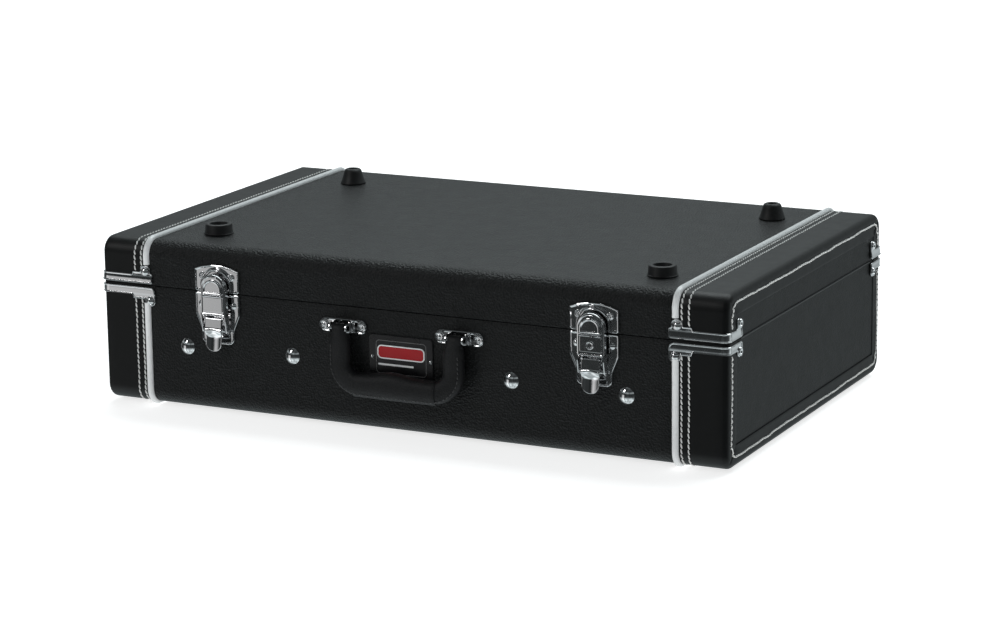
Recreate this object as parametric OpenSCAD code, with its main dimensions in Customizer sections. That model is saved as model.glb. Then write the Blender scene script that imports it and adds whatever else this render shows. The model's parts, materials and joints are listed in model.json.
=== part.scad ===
// Pedalboard built into a hard case, closed: a deep cover half below, the shallow board half on top.
// X runs along the front, Y to the back and Z up. Z = 0 is the surface that the case rests on,
// and the origin is under the middle of everything, handle and hinges included.

/* [Case] */
// Width over the covering, end to end
case_w = 500; // [470:1:560]
// Depth over the covering, front to back
case_d = 307; // [290:1:340]
// Height over the covering, both halves closed
case_h = 123.8; // [120:0.2:140]
// Height of the cover half, up to the parting line
cover_h = 90.2; // [88:0.2:96]
// Radius of the long rounded edges
edge_r = 11.5; // [9:0.5:14]
// Radius of the edges around the two end faces
end_r = 4.5; // [3:0.5:6]

/* [Walls] */
// Thickness of the bent plywood that forms front, flat side and back
ply_t = 6; // [4:0.5:8]
// Thickness of the two end panels
end_t = 8; // [6:0.5:10]
// Thickness of the vinyl covering
skin_t = 1; // [0.6:0.1:1.5]
// Open gap between the two halves at the parting line
part_gap = 0.5; // [0.3:0.1:1]
// Width of the smooth band where it is folded onto the end face
flange_w = 16; // [12:1:20]

/* [Piping] */
// Distance of the piping from the middle of the case
bead_x = 211.5; // [200:0.5:216]
// Width of the piping bead
bead_w = 4.8; // [3:0.2:6]
// How far the piping stands proud of the covering
bead_h = 2.4; // [1.5:0.1:2.8]

/* [Latches] */
// Distance of each latch from the middle
latch_x = 151; // [120:1:165]
// Width of the latch plates
latch_w = 37.4; // [37:0.2:40]
// Thickness of the latch sheet metal
sheet_t = 1.2; // [1:0.1:1.3]

/* [Handle] */
// Distance of each handle mount from the middle
handle_x = 46.6; // [44:0.2:50]
// Outer width of the handle
handle_w = 108.4; // [104:0.2:112]
// How far the grip stands out from the front
handle_out = 17; // [16:0.5:20]

/* [Feet] */
// Half the distance between the left and the right feet
foot_x = 179; // [160:1:185]
// Height of the front feet
front_foot_h = 8; // [6:0.2:9]
// Height of the rear feet
rear_foot_h = 12; // [10:0.5:14]

/* [Hinges] */
// Distance of each hinge from the middle
hinge_x = 150; // [120:1:165]
// Width of one hinge
hinge_w = 44; // [36:1:50]

/* [Hidden] */
$fn = 48;

// Colours
vinyl_black = [0.07, 0.07, 0.075];
band_black = [0.1, 0.1, 0.105];
ply_brown = [0.62, 0.48, 0.32];
chrome = [0.8, 0.8, 0.82];
bead_white = [0.85, 0.85, 0.83];
rubber_black = [0.03, 0.03, 0.03];
enamel_red = [0.5, 0.03, 0.05];
plush_black = [0.12, 0.12, 0.13];

// Heights: every z below is counted from the covering's underside, which the piping lifts by bead_h.
hinge_out = 6.4;                         // how far the hinge knuckles stand out at the back
shell_y = (handle_out - hinge_out) / 2;  // centres the whole footprint on the origin
far = 2 * case_w;                        // longer than anything, for cutting blocks
run_fit = 0.05;                          // radial clearance of a pin in a bore
clear = 1;                               // how far a drilled hole reaches past a sheet
wrap_w = case_w - 2 * (skin_t + end_t);  // inside width, between the end panels
wrap_d = case_d - 2 * (skin_t + ply_t);  // inside depth, between front and back
rivet_depth = skin_t + ply_t - 0.5;      // rivet shanks stop short of the lining

// Fasteners: [x, z] on the front or back face
dome_mid_x = -1.8;                       // the row of domes sits a little to the left
dome_at = [for (s = [-1, 1], p = [[88, 48.6], [176.6, 47]]) [dome_mid_x + s * p[0], p[1]]];
dome_r = 6.1;
dome_h = 2.6;
dome_shank_r = 2;
clasp_t = 1;
clasp_w = 43.5;                          // front arm, from the end face inwards
clasp_end_w = 23;                        // end-face arm, from the corner inwards
clasp_wide = 17.5;                       // width of the taller part at the end of the front arm
clasp_ear_r = 4.5;                       // ear round the front rivet, over the piping
clasp_end_ear_r = 3.5;                   // ear round the end-face rivet
clasp_r = 3.2;                           // rivet head
clasp_rivet_h = 1.9;
clasp_shank_r = 1.5;
board_strip = [91.6, 98];
board_wide_z = 100.4;
board_clasp_z = 101.5;
cover_strip = [82.5, 88.1];
cover_wide_z = 80.3;
cover_clasp_z = 81.6;
clasp_end_y = 19.5;                      // rivet in the end-face ear, from the corner

// Vinyl folded over the plywood at the parting line
rim_t = skin_t;
cover_rim_z = cover_h - part_gap / 2 - rim_t;
board_rim_z = cover_h + part_gap / 2;

// Handle mounts
mount_z = 75.5;
plate_w = 38;
plate_h = 10;
plate_corner_r = 3;
plate_rivet = 15.5;
plate_rivet_r = 3;
plate_rivet_h = 1.8;
pivot_out = 7;
handle_pin_r = 2;
ear_r = 4.4;
ear_t = 1.2;
strap_w = 11;
ear_gap = 0.5;
eye_r = 5;
grip_lo = 27.4;
grip_hi = 44;
grip_r = 6;
arm_w = 16;
arm_out = [3, 13];
arm_top = 66;
loop_r = 18;
loop_in_r = 8;
grip_in = 2.5;
grip_half = 36;

// Badge
badge_w = 51;
badge_z = [40, 72];
badge_t = 1;
badge_r = 3;
badge_rivet = [23.4, 55.5];
badge_rivet_r = 1.4;
badge_rivet_h = 0.7;
badge_shank_r = 0.8;
label = [36, 10, 0.5];                   // width, height and thickness of the enamel bar
label_z = 61.5;

// Latch: [out, z] in the side profile; p1 is the lever's pivot in the base, p2 the hasp's in the lever
p1 = [4, 70];
p2 = [4, 63];
link_pin_r = 1.2;
link_eye_r = 2.4;
lever_eye_r = 2.5;
lever_half = 7;
lever_wall = 1;
tab_r = 6.5;
tab_zc = 54.1;
ear_in = 7.3;
ear_wall = 1;
cheek_in = 9.4;
cheek_out = 10.4;
pin_proud = 0.3;
latch_ear_r = 2.8;
hasp_zc = 94.6;
hasp_bottom = 74;
hasp_out = [3.3, 8];
hasp_face_t = 1;
panel_r = 8.1;
panel_zc = 93.2;
panel_bottom = 76.5;
panel_rise = 0.6;
panel_top_rise = 1;
bar_rise = 1.6;
bar_z = [88.2, 90.7];
lock_z = 82.3;
lock_r = 3;
lock_out = [5.7, 9.3];
lock_cam = [2.4, 6, 1];
key_slot = [0.9, 3.4, 1.2];
keeper_z = 90.7;
keeper_side = 107.3;
keeper_top = 111.2;
keeper_arch_r = [11, 12.2];
keeper_arch_zc = 95.4;
keeper_arch_out = 3;
keeper_screw = [13.6, 103];
keeper_screw_r = 2.6;
keeper_screw_h = 1.4;
base_top = 89.7;
base_wide = 73;
base_neck = 66;
base_bottom = 52;
base_low_w = 27;
base_corner_r = 4;
base_shoulder_r = base_wide - base_neck;
base_rivet = [13.4, 81.4];
base_rivet_r = 2.6;
base_rivet_h = 1.5;
latch_shank_r = 1.3;

// Feet: [x, y] of the middle of each
foot_mid_x = 4.3;                        // the four feet sit a little to the right
front_foot_y = -110;
rear_foot_y = 98.4;
foot_shank_r = 1.8;
foot_floor = 3;                          // rubber under the screw's head
foot_screw_h = 2;
front_foot_r = [10.5, 10];               // at the case and at the top
front_flange = [11, 1.2];                // radius and thickness
front_bore_r = 6.4;
front_screw_r = 3.8;
rear_foot_r = [9.6, 6.6];
rear_flange = [10, 1];
rear_bore_r = 3;
rear_screw_r = 2.8;

// Hinges
hinge_axis = 3.4;                        // axis distance from the back face
knuckle_r = 3;
hinge_pin_r = 1.5;
leaf_h = 20;
knuckles = 5;
knuckle_gap = 0.3;
knuckle_step = hinge_w / knuckles;
hinge_rivet_z = 13;
hinge_rivet_dx = [-15, 0, 15];
hinge_rivet_h = 1.3;
hinge_head_t = 1;
hinge_head_r = 2.4;
hinge_rivet_r = 2.6;
hinge_shank_r = 1.4;

// Lining
pad_t = 10;
pad_gap = 0.5;
pad_corner_r = 6;
lining_t = 3;
deck_t = 2;
lining_drop = 4;                         // bare wall above the lining
lining_top = cover_h - lining_drop;

// ---------- placing ----------

// z = 0 of the children is the covering's underside
module placed() {
    translate([0, shell_y, bead_h]) children();
}

// Children's +Z points out of the front face, their Y is up
module on_front(x, z) {
    translate([x, -case_d / 2, z]) rotate([90, 0, 0]) children();
}

module on_back(x, z) {
    mirror([0, 1, 0]) on_front(x, z) children();
}

// Children's +Z points out of the end face; from_edge counts from the front (1) or back (-1) corner
module on_end(side, front, from_edge, z) {
    mirror([side < 0 ? 1 : 0, 0, 0])
        translate([case_w / 2, -front * (case_d / 2 - from_edge), z])
            rotate([90, 0, 90]) children();
}

// A side profile drawn as [out, z] and spread along X by width, centred on x
module side_slab(x, width) {
    translate([x, 0, 0]) rotate([0, -90, 0]) linear_extrude(width, center = true) children();
}

// Everything of the cover half, or of the board half
module cover_half(top = cover_rim_z + rim_t) {
    intersection() {
        children();
        translate([-far / 2, -far / 2, top - far]) cube(far);
    }
}

module board_half(bottom = board_rim_z) {
    intersection() {
        children();
        translate([-far / 2, -far / 2, bottom]) cube(far);
    }
}

// ---------- shapes ----------

// Rectangle with true round corners, centred
module round_rect(w, h, r) {
    square([w - 2 * r, h], center = true);
    square([w, h - 2 * r], center = true);
    for (sx = [-1, 1], sy = [-1, 1])
        translate([sx * (w / 2 - r), sy * (h / 2 - r)]) circle(r);
}

// Cross-section of the case, looking along X, shrunk by inset
module section(inset) {
    translate([0, case_h / 2]) round_rect(case_d - 2 * inset, case_h - 2 * inset, edge_r - inset);
}

// The section spread along X from x0 to x1
module along_x(x0, x1) {
    translate([x0, 0, 0]) rotate([90, 0, 90]) linear_extrude(x1 - x0) children();
}

// The whole closed case with both kinds of rounded edge, shrunk by inset
module case_block(inset) {
    w = case_w - 2 * inset;
    d = case_d - 2 * inset;
    h = case_h - 2 * inset;
    intersection() {
        along_x(-w / 2, w / 2) section(inset);
        translate([0, far / 2, case_h / 2]) rotate([90, 0, 0])
            linear_extrude(far) round_rect(w, h, end_r - inset);
        translate([0, 0, -far / 2]) linear_extrude(far) round_rect(w, d, end_r - inset);
    }
}

// A low dome of radius r and height h with a shank, its flat side at Z = 0
module rivet(r, h, shank_r, depth) {
    ball_r = (r * r + h * h) / (2 * h);
    intersection() {
        translate([0, 0, h - ball_r]) sphere(ball_r);
        cylinder(r = r + 1, h = h + 1);
    }
    translate([0, 0, -depth]) cylinder(r = shank_r, h = depth);
}

module drill(r, depth, above = 8) {
    translate([0, 0, -depth]) cylinder(r = r, h = depth + above);
}

// Arch with straight legs: round top of radius r about zc, legs down to zb
module arch(r, zc, zb) {
    intersection() {
        translate([0, zc]) circle(r);
        translate([-r, zb]) square([2 * r, zc + r - zb]);
    }
    translate([-r, zb]) square([2 * r, zc - zb]);
}

// ---------- holes for the fasteners ----------

module at_each(points) {
    for (p = points) on_front(p[0], p[1]) children();
}

module at_latches() {
    for (s = [-1, 1]) on_front(s * latch_x, 0) children();
}

module clasp_fronts(z) {
    for (s = [-1, 1]) {
        on_front(s * bead_x, z) children();
        on_back(s * bead_x, z) children();
    }
}

module clasp_ends(z) {
    for (s = [-1, 1], f = [-1, 1]) on_end(s, f, clasp_end_y, z) children();
}

module hinge_points(dz) {
    for (s = [-1, 1], dx = hinge_rivet_dx) on_back(s * hinge_x + dx, cover_h + dz) children();
}

module cover_front_holes() {
    at_each(dome_at) drill(dome_shank_r, rivet_depth);
    for (s = [-1, 1], dx = [-1, 1])
        on_front(s * handle_x + dx * plate_rivet, mount_z) drill(latch_shank_r, rivet_depth);
    for (s = [-1, 1])
        on_front(s * badge_rivet[0], badge_rivet[1]) drill(badge_shank_r, rivet_depth);
    at_latches() for (dx = [-1, 1])
        translate([dx * base_rivet[0], base_rivet[1]]) drill(latch_shank_r, rivet_depth);
    clasp_fronts(cover_clasp_z) drill(clasp_shank_r, rivet_depth);
    hinge_points(-hinge_rivet_z) drill(hinge_shank_r, rivet_depth);
}

module board_front_holes() {
    at_latches() for (dx = [-1, 1])
        translate([dx * keeper_screw[0], keeper_screw[1]]) drill(latch_shank_r, rivet_depth);
    clasp_fronts(board_clasp_z) drill(clasp_shank_r, rivet_depth);
    hinge_points(hinge_rivet_z) drill(hinge_shank_r, rivet_depth);
    foot_places(front_foot_y) drill(foot_shank_r, rivet_depth);
    foot_places(rear_foot_y) drill(foot_shank_r, rivet_depth);
}

module foot_places(y) {
    for (s = [-1, 1]) translate([foot_mid_x + s * foot_x, y, case_h]) children();
}

// ---------- walls ----------

// Bent plywood: front, flat side and back in one sheet
module wrap_sheet() {
    along_x(-wrap_w / 2, wrap_w / 2) difference() {
        section(skin_t);
        section(skin_t + ply_t);
    }
}

module cover_wrap_panel() {
    color(ply_brown) placed() difference() {
        cover_half(cover_rim_z) wrap_sheet();
        cover_front_holes();
    }
}

module board_wrap_panel() {
    color(ply_brown) placed() difference() {
        board_half(board_rim_z + rim_t) wrap_sheet();
        board_front_holes();
    }
}

// End panel of the case with its rounded outer edges; side is 1 on the right
module end_sheet(side) {
    mirror([side < 0 ? 1 : 0, 0, 0]) intersection() {
        case_block(skin_t);
        translate([case_w / 2 - skin_t - end_t, -far / 2, -far / 2]) cube(far);
    }
}

module cover_end_panel(side) {
    color(ply_brown) placed() difference() {
        cover_half(cover_rim_z) end_sheet(side);
        clasp_ends(cover_clasp_z) drill(clasp_shank_r, rivet_depth);
    }
}

module board_end_panel(side) {
    color(ply_brown) placed() difference() {
        board_half(board_rim_z + rim_t) end_sheet(side);
        clasp_ends(board_clasp_z) drill(clasp_shank_r, rivet_depth);
    }
}

// ---------- covering ----------

module wrap_skin() {
    reach = bead_x - bead_w / 2;
    along_x(-reach, reach) difference() {
        section(0);
        section(skin_t);
    }
}

// Vinyl turned in over the plywood's edges, from x0 to x1, its layer starting at height z
module turned_rim(x0, x1, z) {
    translate([0, 0, z]) linear_extrude(rim_t) intersection() {
        difference() {
            round_rect(case_w - skin_t, case_d - skin_t, end_r - skin_t / 2);
            square([wrap_w, wrap_d], center = true);
        }
        translate([x0, -case_d / 2]) square([x1 - x0, case_d]);
    }
}

module cover_skin() {
    reach = bead_x - bead_w / 2;
    color(vinyl_black) placed() difference() {
        union() {
            cover_half() wrap_skin();
            turned_rim(-reach, reach, cover_rim_z);
        }
        cover_front_holes();
    }
}

module board_skin() {
    reach = bead_x - bead_w / 2;
    color(vinyl_black) placed() difference() {
        union() {
            board_half() wrap_skin();
            turned_rim(-reach, reach, board_rim_z);
        }
        board_front_holes();
    }
}

// Window in the end face that the folded band leaves open, looking along X
module end_window() {
    translate([0, case_h / 2]) square([case_d - 2 * flange_w, case_h - 2 * flange_w], center = true);
}

// Smooth band round the end of the case, folded onto the end face
module band_skin(side) {
    start = bead_x + bead_w / 2;
    mirror([side < 0 ? 1 : 0, 0, 0]) difference() {
        intersection() {
            case_block(0);
            translate([start, -far / 2, -far / 2]) cube(far);
        }
        case_block(skin_t);
        along_x(case_w / 2 - 2 * skin_t, case_w) end_window();
    }
}

module cover_band(side) {
    color(band_black) placed() difference() {
        union() {
            cover_half() band_skin(side);
            band_rim(side, cover_rim_z);
        }
        clasp_ends(cover_clasp_z) drill(clasp_shank_r, rivet_depth);
    }
}

module board_band(side) {
    color(band_black) placed() difference() {
        union() {
            board_half() band_skin(side);
            band_rim(side, board_rim_z);
        }
        clasp_ends(board_clasp_z) drill(clasp_shank_r, rivet_depth);
    }
}

// The band's own turned-in vinyl; it also closes the short gap under the piping's ends
module band_rim(side, z) {
    start = bead_x - bead_w / 2;
    mirror([side < 0 ? 1 : 0, 0, 0]) turned_rim(start, case_w / 2 - 0.5 * skin_t, z);
}

// Grained vinyl inside the band's window, a little thinner than the band and up to the turned rim
module end_skin(side) {
    thick = 0.6 * skin_t;
    mirror([side < 0 ? 1 : 0, 0, 0])
        along_x(case_w / 2 - skin_t, case_w / 2 - skin_t + thick) end_window();
}

module cover_end_skin(side) {
    color(vinyl_black) placed() difference() {
        cover_half(cover_rim_z) end_skin(side);
        clasp_ends(cover_clasp_z) drill(clasp_shank_r, rivet_depth);
    }
}

module board_end_skin(side) {
    color(vinyl_black) placed() difference() {
        board_half(board_rim_z + rim_t) end_skin(side);
        clasp_ends(board_clasp_z) drill(clasp_shank_r, rivet_depth);
    }
}

// Piping: a bead with a flat crown, seated on the plywood between the two coverings
module bead_ring(side) {
    crown_w = 0.6 * bead_w;
    shoulder = 0.6 * bead_h;
    for (layer = [[bead_w, shoulder], [crown_w, bead_h]])
        along_x(side * bead_x - layer[0] / 2, side * bead_x + layer[0] / 2) difference() {
            section(-layer[1]);
            section(skin_t);
        }
}

module cover_piping(side) {
    color(bead_white) placed() cover_half(cover_clasp_z - clasp_ear_r) bead_ring(side);
}

module board_piping(side) {
    color(bead_white) placed() board_half(board_clasp_z + clasp_ear_r) bead_ring(side);
}

// ---------- corner clasps ----------

// Plan outline of the sheet metal round one corner
module clasp_plan() {
    intersection() {
        difference() {
            round_rect(case_w + 2 * clasp_t, case_d + 2 * clasp_t, end_r + clasp_t);
            round_rect(case_w, case_d, end_r);
        }
        translate([case_w / 2 - clasp_w, -case_d / 2 - clasp_t])
            square([clasp_w + clasp_t, clasp_end_w + clasp_t]);
    }
}

// Flat ear with a round tip of radius r at height tip_z, rooted at root_z
module clasp_ear(r, root_z, tip_z) {
    translate([0, tip_z]) circle(r);
    translate([-r, min(root_z, tip_z)]) square([2 * r, abs(tip_z - root_z)]);
}

// One clasp: a strip round the corner, a taller part on the front arm and an ear at each rivet
module clasp(strip, wide_z, rivet_z) {
    root = (strip[0] + strip[1]) / 2;
    translate([0, 0, strip[0]]) linear_extrude(strip[1] - strip[0]) clasp_plan();
    on_front(case_w / 2 - clasp_w, min(root, wide_z)) linear_extrude(clasp_t)
        square([clasp_wide, abs(wide_z - root)]);
    on_front(bead_x, 0) linear_extrude(clasp_t) clasp_ear(clasp_ear_r, root, rivet_z);
    on_end(1, 1, clasp_end_y, 0) linear_extrude(clasp_t) clasp_ear(clasp_end_ear_r, root, rivet_z);
}

module four_clasps(strip, wide_z, rivet_z) {
    for (mx = [0, 1], my = [0, 1])
        mirror([mx, 0, 0]) mirror([0, my, 0]) clasp(strip, wide_z, rivet_z);
}

module cover_corner_clasps() {
    color(chrome) placed() difference() {
        four_clasps(cover_strip, cover_wide_z, cover_clasp_z);
        clasp_fronts(cover_clasp_z) drill(clasp_shank_r, rivet_depth);
        clasp_ends(cover_clasp_z) drill(clasp_shank_r, rivet_depth);
    }
}

module board_corner_clasps() {
    color(chrome) placed() difference() {
        four_clasps(board_strip, board_wide_z, board_clasp_z);
        clasp_fronts(board_clasp_z) drill(clasp_shank_r, rivet_depth);
        clasp_ends(board_clasp_z) drill(clasp_shank_r, rivet_depth);
    }
}

module clasp_rivet() {
    translate([0, 0, clasp_t]) rivet(clasp_r, clasp_rivet_h, clasp_shank_r, clasp_t + rivet_depth);
}

module cover_clasp_rivets() {
    color(chrome) placed() {
        clasp_fronts(cover_clasp_z) clasp_rivet();
        clasp_ends(cover_clasp_z) clasp_rivet();
    }
}

module board_clasp_rivets() {
    color(chrome) placed() {
        clasp_fronts(board_clasp_z) clasp_rivet();
        clasp_ends(board_clasp_z) clasp_rivet();
    }
}

// ---------- latches ----------

module base_outline() {
    translate([-latch_w / 2, base_wide]) square([latch_w, base_top - base_wide]);
    translate([0, (base_bottom + base_wide) / 2])
        round_rect(base_low_w, base_wide - base_bottom, base_corner_r);
    translate([-base_low_w / 2, base_neck]) square([base_low_w, base_wide - base_neck]);
    difference() {
        translate([-latch_w / 2, base_neck]) square([latch_w, base_wide - base_neck]);
        for (s = [-1, 1])
            translate([s * (base_low_w / 2 + base_shoulder_r), base_neck]) circle(base_shoulder_r);
    }
}

// Base plate with the two ears that carry the lever's pin
module latch_base(side) {
    color(chrome) placed() on_front(side * latch_x, 0) difference() {
        union() {
            linear_extrude(sheet_t) base_outline();
            for (s = [-1, 1]) side_slab(s * (ear_in + ear_wall / 2), ear_wall) {
                translate(p1) circle(latch_ear_r);
                translate([0, p1[1] - latch_ear_r]) square([p1[0], 2 * latch_ear_r]);
            }
        }
        side_slab(0, latch_w) translate(p1) circle(link_pin_r);
        for (s = [-1, 1])
            translate([s * base_rivet[0], base_rivet[1]]) drill(latch_shank_r, clear);
    }
}

module latch_base_rivets() {
    color(chrome) placed() at_latches() for (s = [-1, 1])
        translate([s * base_rivet[0], base_rivet[1], sheet_t])
            rivet(base_rivet_r, base_rivet_h, latch_shank_r, sheet_t + rivet_depth);
}

module latch_lever_pins() {
    color(chrome) placed() at_latches()
        side_slab(0, 2 * (ear_in + ear_wall)) translate(p1) circle(link_pin_r);
}

// Lever: a bent thumb tab with two side walls round both pins
module lever_web() {
    polygon([[8, 72], [7, 64.3], [9.2, 60.5], [9.2, 50], [8.4, 47.6],
        [7.5, 48.2], [8.2, 51], [8.2, 60.9], [6, 64.2], [7, 72]]);
}

module lever_side() {
    polygon([[7.5, 72], [6.4, 64.3], [8.5, 60.7], [8.5, 57], [5.2, 60.8], [p2[0], p2[1] - 2.2],
        [p2[0] - 2.4, p2[1]], [p1[0] - 2.4, p1[1]], [p1[0], p1[1] + 2]]);
    translate(p1) circle(lever_eye_r);
    translate(p2) circle(link_eye_r);
}

module lever_outline() {
    translate([-lever_half, 60]) square([2 * lever_half, 14]);
    translate([0, tab_zc]) circle(tab_r);
    translate([-tab_r, tab_zc]) square([2 * tab_r, 7]);
}

module latch_lever(side) {
    color(chrome) placed() on_front(side * latch_x, 0) difference() {
        union() {
            intersection() {
                side_slab(0, 2 * lever_half) lever_web();
                linear_extrude(far) lever_outline();
            }
            for (s = [-1, 1])
                side_slab(s * (lever_half - lever_wall / 2), lever_wall) lever_side();
        }
        side_slab(0, latch_w) translate(p1) circle(link_pin_r + run_fit);
        side_slab(0, latch_w) translate(p2) circle(link_pin_r);
    }
}

module latch_hasp_pin(side) {
    color(chrome) placed() on_front(side * latch_x, 0)
        side_slab(0, 2 * (cheek_out + pin_proud)) translate(p2) circle(link_pin_r);
}

// Hasp: an arched box open at the back, on two arms that reach down to the lever's lower pin
module hasp_arm() {
    polygon([[3.3, 76], [8, 76], [8, 71], [6.2, 63.8], [p2[0], p2[1]], [1.7, p2[1] + 0.5], [3.3, 70]]);
    translate(p2) circle(link_eye_r);
}

module latch_hasp(side) {
    depth = hasp_out[1] - hasp_out[0];
    color(chrome) placed() on_front(side * latch_x, 0) difference() {
        union() {
            translate([0, 0, hasp_out[0]]) linear_extrude(depth) difference() {
                arch(cheek_out, hasp_zc, hasp_bottom);
                arch(cheek_in, hasp_zc, hasp_bottom - 1);
            }
            translate([0, 0, hasp_out[1] - hasp_face_t]) linear_extrude(hasp_face_t)
                arch(cheek_out, hasp_zc, hasp_bottom);
            translate([0, 0, hasp_out[1]]) linear_extrude(panel_rise)
                arch(panel_r, panel_zc, panel_bottom);
            translate([0, 0, hasp_out[1]]) linear_extrude(panel_top_rise)
                arch(panel_r, panel_zc, bar_z[1]);
            translate([-panel_r, bar_z[0], hasp_out[1]])
                cube([2 * panel_r, bar_z[1] - bar_z[0], bar_rise]);
            for (s = [-1, 1])
                side_slab(s * (cheek_in + cheek_out) / 2, cheek_out - cheek_in) hasp_arm();
        }
        side_slab(0, latch_w) translate(p2) circle(link_pin_r + run_fit);
        if (side > 0)
            translate([0, lock_z, 0]) cylinder(r = lock_r + run_fit, h = far);
    }
}

// Lock barrel with a key slot in front and a cam behind
module lock_cylinder() {
    color(chrome) placed() on_front(latch_x, 0) translate([0, lock_z, 0]) difference() {
        union() {
            translate([0, 0, lock_out[0]]) cylinder(r = lock_r, h = lock_out[1] - lock_out[0]);
            translate([-lock_cam[0] / 2, 1 - lock_cam[1], lock_out[0]]) cube(lock_cam);
        }
        translate([-key_slot[0] / 2, -key_slot[1] / 2, lock_out[1] - key_slot[2]])
            cube([key_slot[0], key_slot[1], key_slot[2] + clear]);
    }
}

// Keeper: plate with an arched top and the raised arch that the hasp closes round
module keeper_outline() {
    rise = keeper_top - keeper_side;
    arc_r = (latch_w * latch_w / 4 + rise * rise) / (2 * rise);
    intersection() {
        translate([-latch_w / 2, keeper_z]) square([latch_w, keeper_top - keeper_z]);
        translate([0, keeper_top - arc_r]) circle(arc_r);
    }
}

module latch_keepers() {
    color(chrome) placed() at_latches() difference() {
        union() {
            linear_extrude(sheet_t) keeper_outline();
            linear_extrude(keeper_arch_out) difference() {
                arch(keeper_arch_r[1], keeper_arch_zc, keeper_z);
                arch(keeper_arch_r[0], keeper_arch_zc, keeper_z - 1);
            }
        }
        for (s = [-1, 1])
            translate([s * keeper_screw[0], keeper_screw[1]]) drill(latch_shank_r, clear);
    }
}

// Low screw with a cross recess, its underside at Z = 0
module cross_screw(head_r, head_h, shank_r, depth) {
    slot = [0.24 * head_r, 1.2 * head_r];
    difference() {
        rivet(head_r, head_h, shank_r, depth);
        for (a = [0, 90]) rotate(a)
            translate([-slot[0] / 2, -slot[1] / 2, 0.45 * head_h]) cube([slot[0], slot[1], head_h]);
    }
}

module keeper_screws() {
    color(chrome) placed() at_latches() for (s = [-1, 1])
        translate([s * keeper_screw[0], keeper_screw[1], sheet_t])
            cross_screw(keeper_screw_r, keeper_screw_h, latch_shank_r, sheet_t + rivet_depth);
}

// ---------- handle ----------

module at_mounts() {
    for (s = [-1, 1]) on_front(s * handle_x, mount_z) children();
}

// Plate with two ears that hold the handle's pin
module handle_plates() {
    ear_x = strap_w / 2 + ear_gap + ear_t / 2;
    color(chrome) placed() at_mounts() difference() {
        union() {
            linear_extrude(sheet_t) round_rect(plate_w, plate_h, plate_corner_r);
            for (s = [-1, 1]) side_slab(s * ear_x, ear_t) {
                translate([pivot_out, 0]) circle(ear_r);
                translate([0, -ear_r]) square([pivot_out, 2 * ear_r]);
            }
        }
        side_slab(0, plate_w) translate([pivot_out, 0]) circle(handle_pin_r);
        for (s = [-1, 1]) translate([s * plate_rivet, 0]) drill(latch_shank_r, clear);
    }
}

module handle_plate_rivets() {
    color(chrome) placed() at_mounts() for (s = [-1, 1])
        translate([s * plate_rivet, 0, sheet_t])
            rivet(plate_rivet_r, plate_rivet_h, latch_shank_r, sheet_t + rivet_depth);
}

module handle_pins() {
    length = strap_w + 2 * (ear_gap + ear_t);
    color(chrome) placed() at_mounts()
        side_slab(0, length) translate([pivot_out, 0]) circle(handle_pin_r);
}

// Outline of the loop: outer edge less inner edge, open at the top
module loop_outline() {
    inner_w = handle_w - 2 * arm_w;
    intersection() {
        difference() {
            translate([0, grip_lo + handle_w / 2]) round_rect(handle_w, handle_w, loop_r);
            translate([0, grip_hi + handle_w / 2]) round_rect(inner_w, handle_w, loop_in_r);
        }
        translate([-handle_w / 2, grip_lo]) square([handle_w, arm_top - grip_lo]);
    }
    for (s = [-1, 1])
        translate([s * handle_x - strap_w / 2, arm_top - 1]) square([strap_w, mount_z - arm_top + 1]);
}

module handle() {
    color(rubber_black) placed() on_front(0, 0) difference() {
        union() {
            translate([0, 0, arm_out[0]]) linear_extrude(arm_out[1] - arm_out[0]) loop_outline();
            side_slab(0, 2 * grip_half)
                translate([(grip_in + handle_out) / 2, (grip_lo + grip_hi) / 2])
                    round_rect(handle_out - grip_in, grip_hi - grip_lo, grip_r);
            for (s = [-1, 1])
                side_slab(s * handle_x, strap_w) translate([pivot_out, mount_z]) circle(eye_r);
        }
        for (s = [-1, 1]) side_slab(s * handle_x, strap_w + 2 * clear) {
            translate([pivot_out, mount_z]) circle(handle_pin_r + run_fit);
            // the straps end in round eyes, so the corners above them are cut away
            translate([pivot_out, mount_z]) difference() {
                translate([-2 * eye_r, 0]) square([4 * eye_r, 2 * eye_r]);
                circle(eye_r);
            }
        }
    }
}

// ---------- badge and rivets ----------

module badge_plate() {
    color(rubber_black) placed() on_front(0, (badge_z[0] + badge_z[1]) / 2) difference() {
        linear_extrude(badge_t) round_rect(badge_w, badge_z[1] - badge_z[0], badge_r);
        for (s = [-1, 1])
            translate([s * badge_rivet[0], badge_rivet[1] - (badge_z[0] + badge_z[1]) / 2])
                drill(badge_shank_r, clear);
    }
}

// Plain enamel bar on the badge, without any mark
module badge_label() {
    color(enamel_red) placed() on_front(0, label_z) translate([0, 0, badge_t])
        linear_extrude(label[2]) round_rect(label[0], label[1], label[1] / 4);
}

module badge_rivets() {
    color(chrome) placed() for (s = [-1, 1])
        on_front(s * badge_rivet[0], badge_rivet[1]) translate([0, 0, badge_t])
            rivet(badge_rivet_r, badge_rivet_h, badge_shank_r, badge_t + rivet_depth);
}

module dome_rivets() {
    color(chrome) placed() at_each(dome_at) rivet(dome_r, dome_h, dome_shank_r, rivet_depth);
}

// ---------- lining ----------

module cover_floor_pad() {
    w = wrap_w - 2 * (lining_t + pad_gap);
    d = case_d - 2 * (edge_r + pad_gap);
    color(plush_black) placed() translate([0, 0, skin_t + ply_t])
        linear_extrude(pad_t) round_rect(w, d, pad_corner_r);
}

module cover_wall_lining() {
    color(plush_black) placed() translate([0, 0, edge_r])
        linear_extrude(lining_top - edge_r) difference() {
            square([wrap_w, wrap_d], center = true);
            square([wrap_w - 2 * lining_t, wrap_d - 2 * lining_t], center = true);
        }
}

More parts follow.
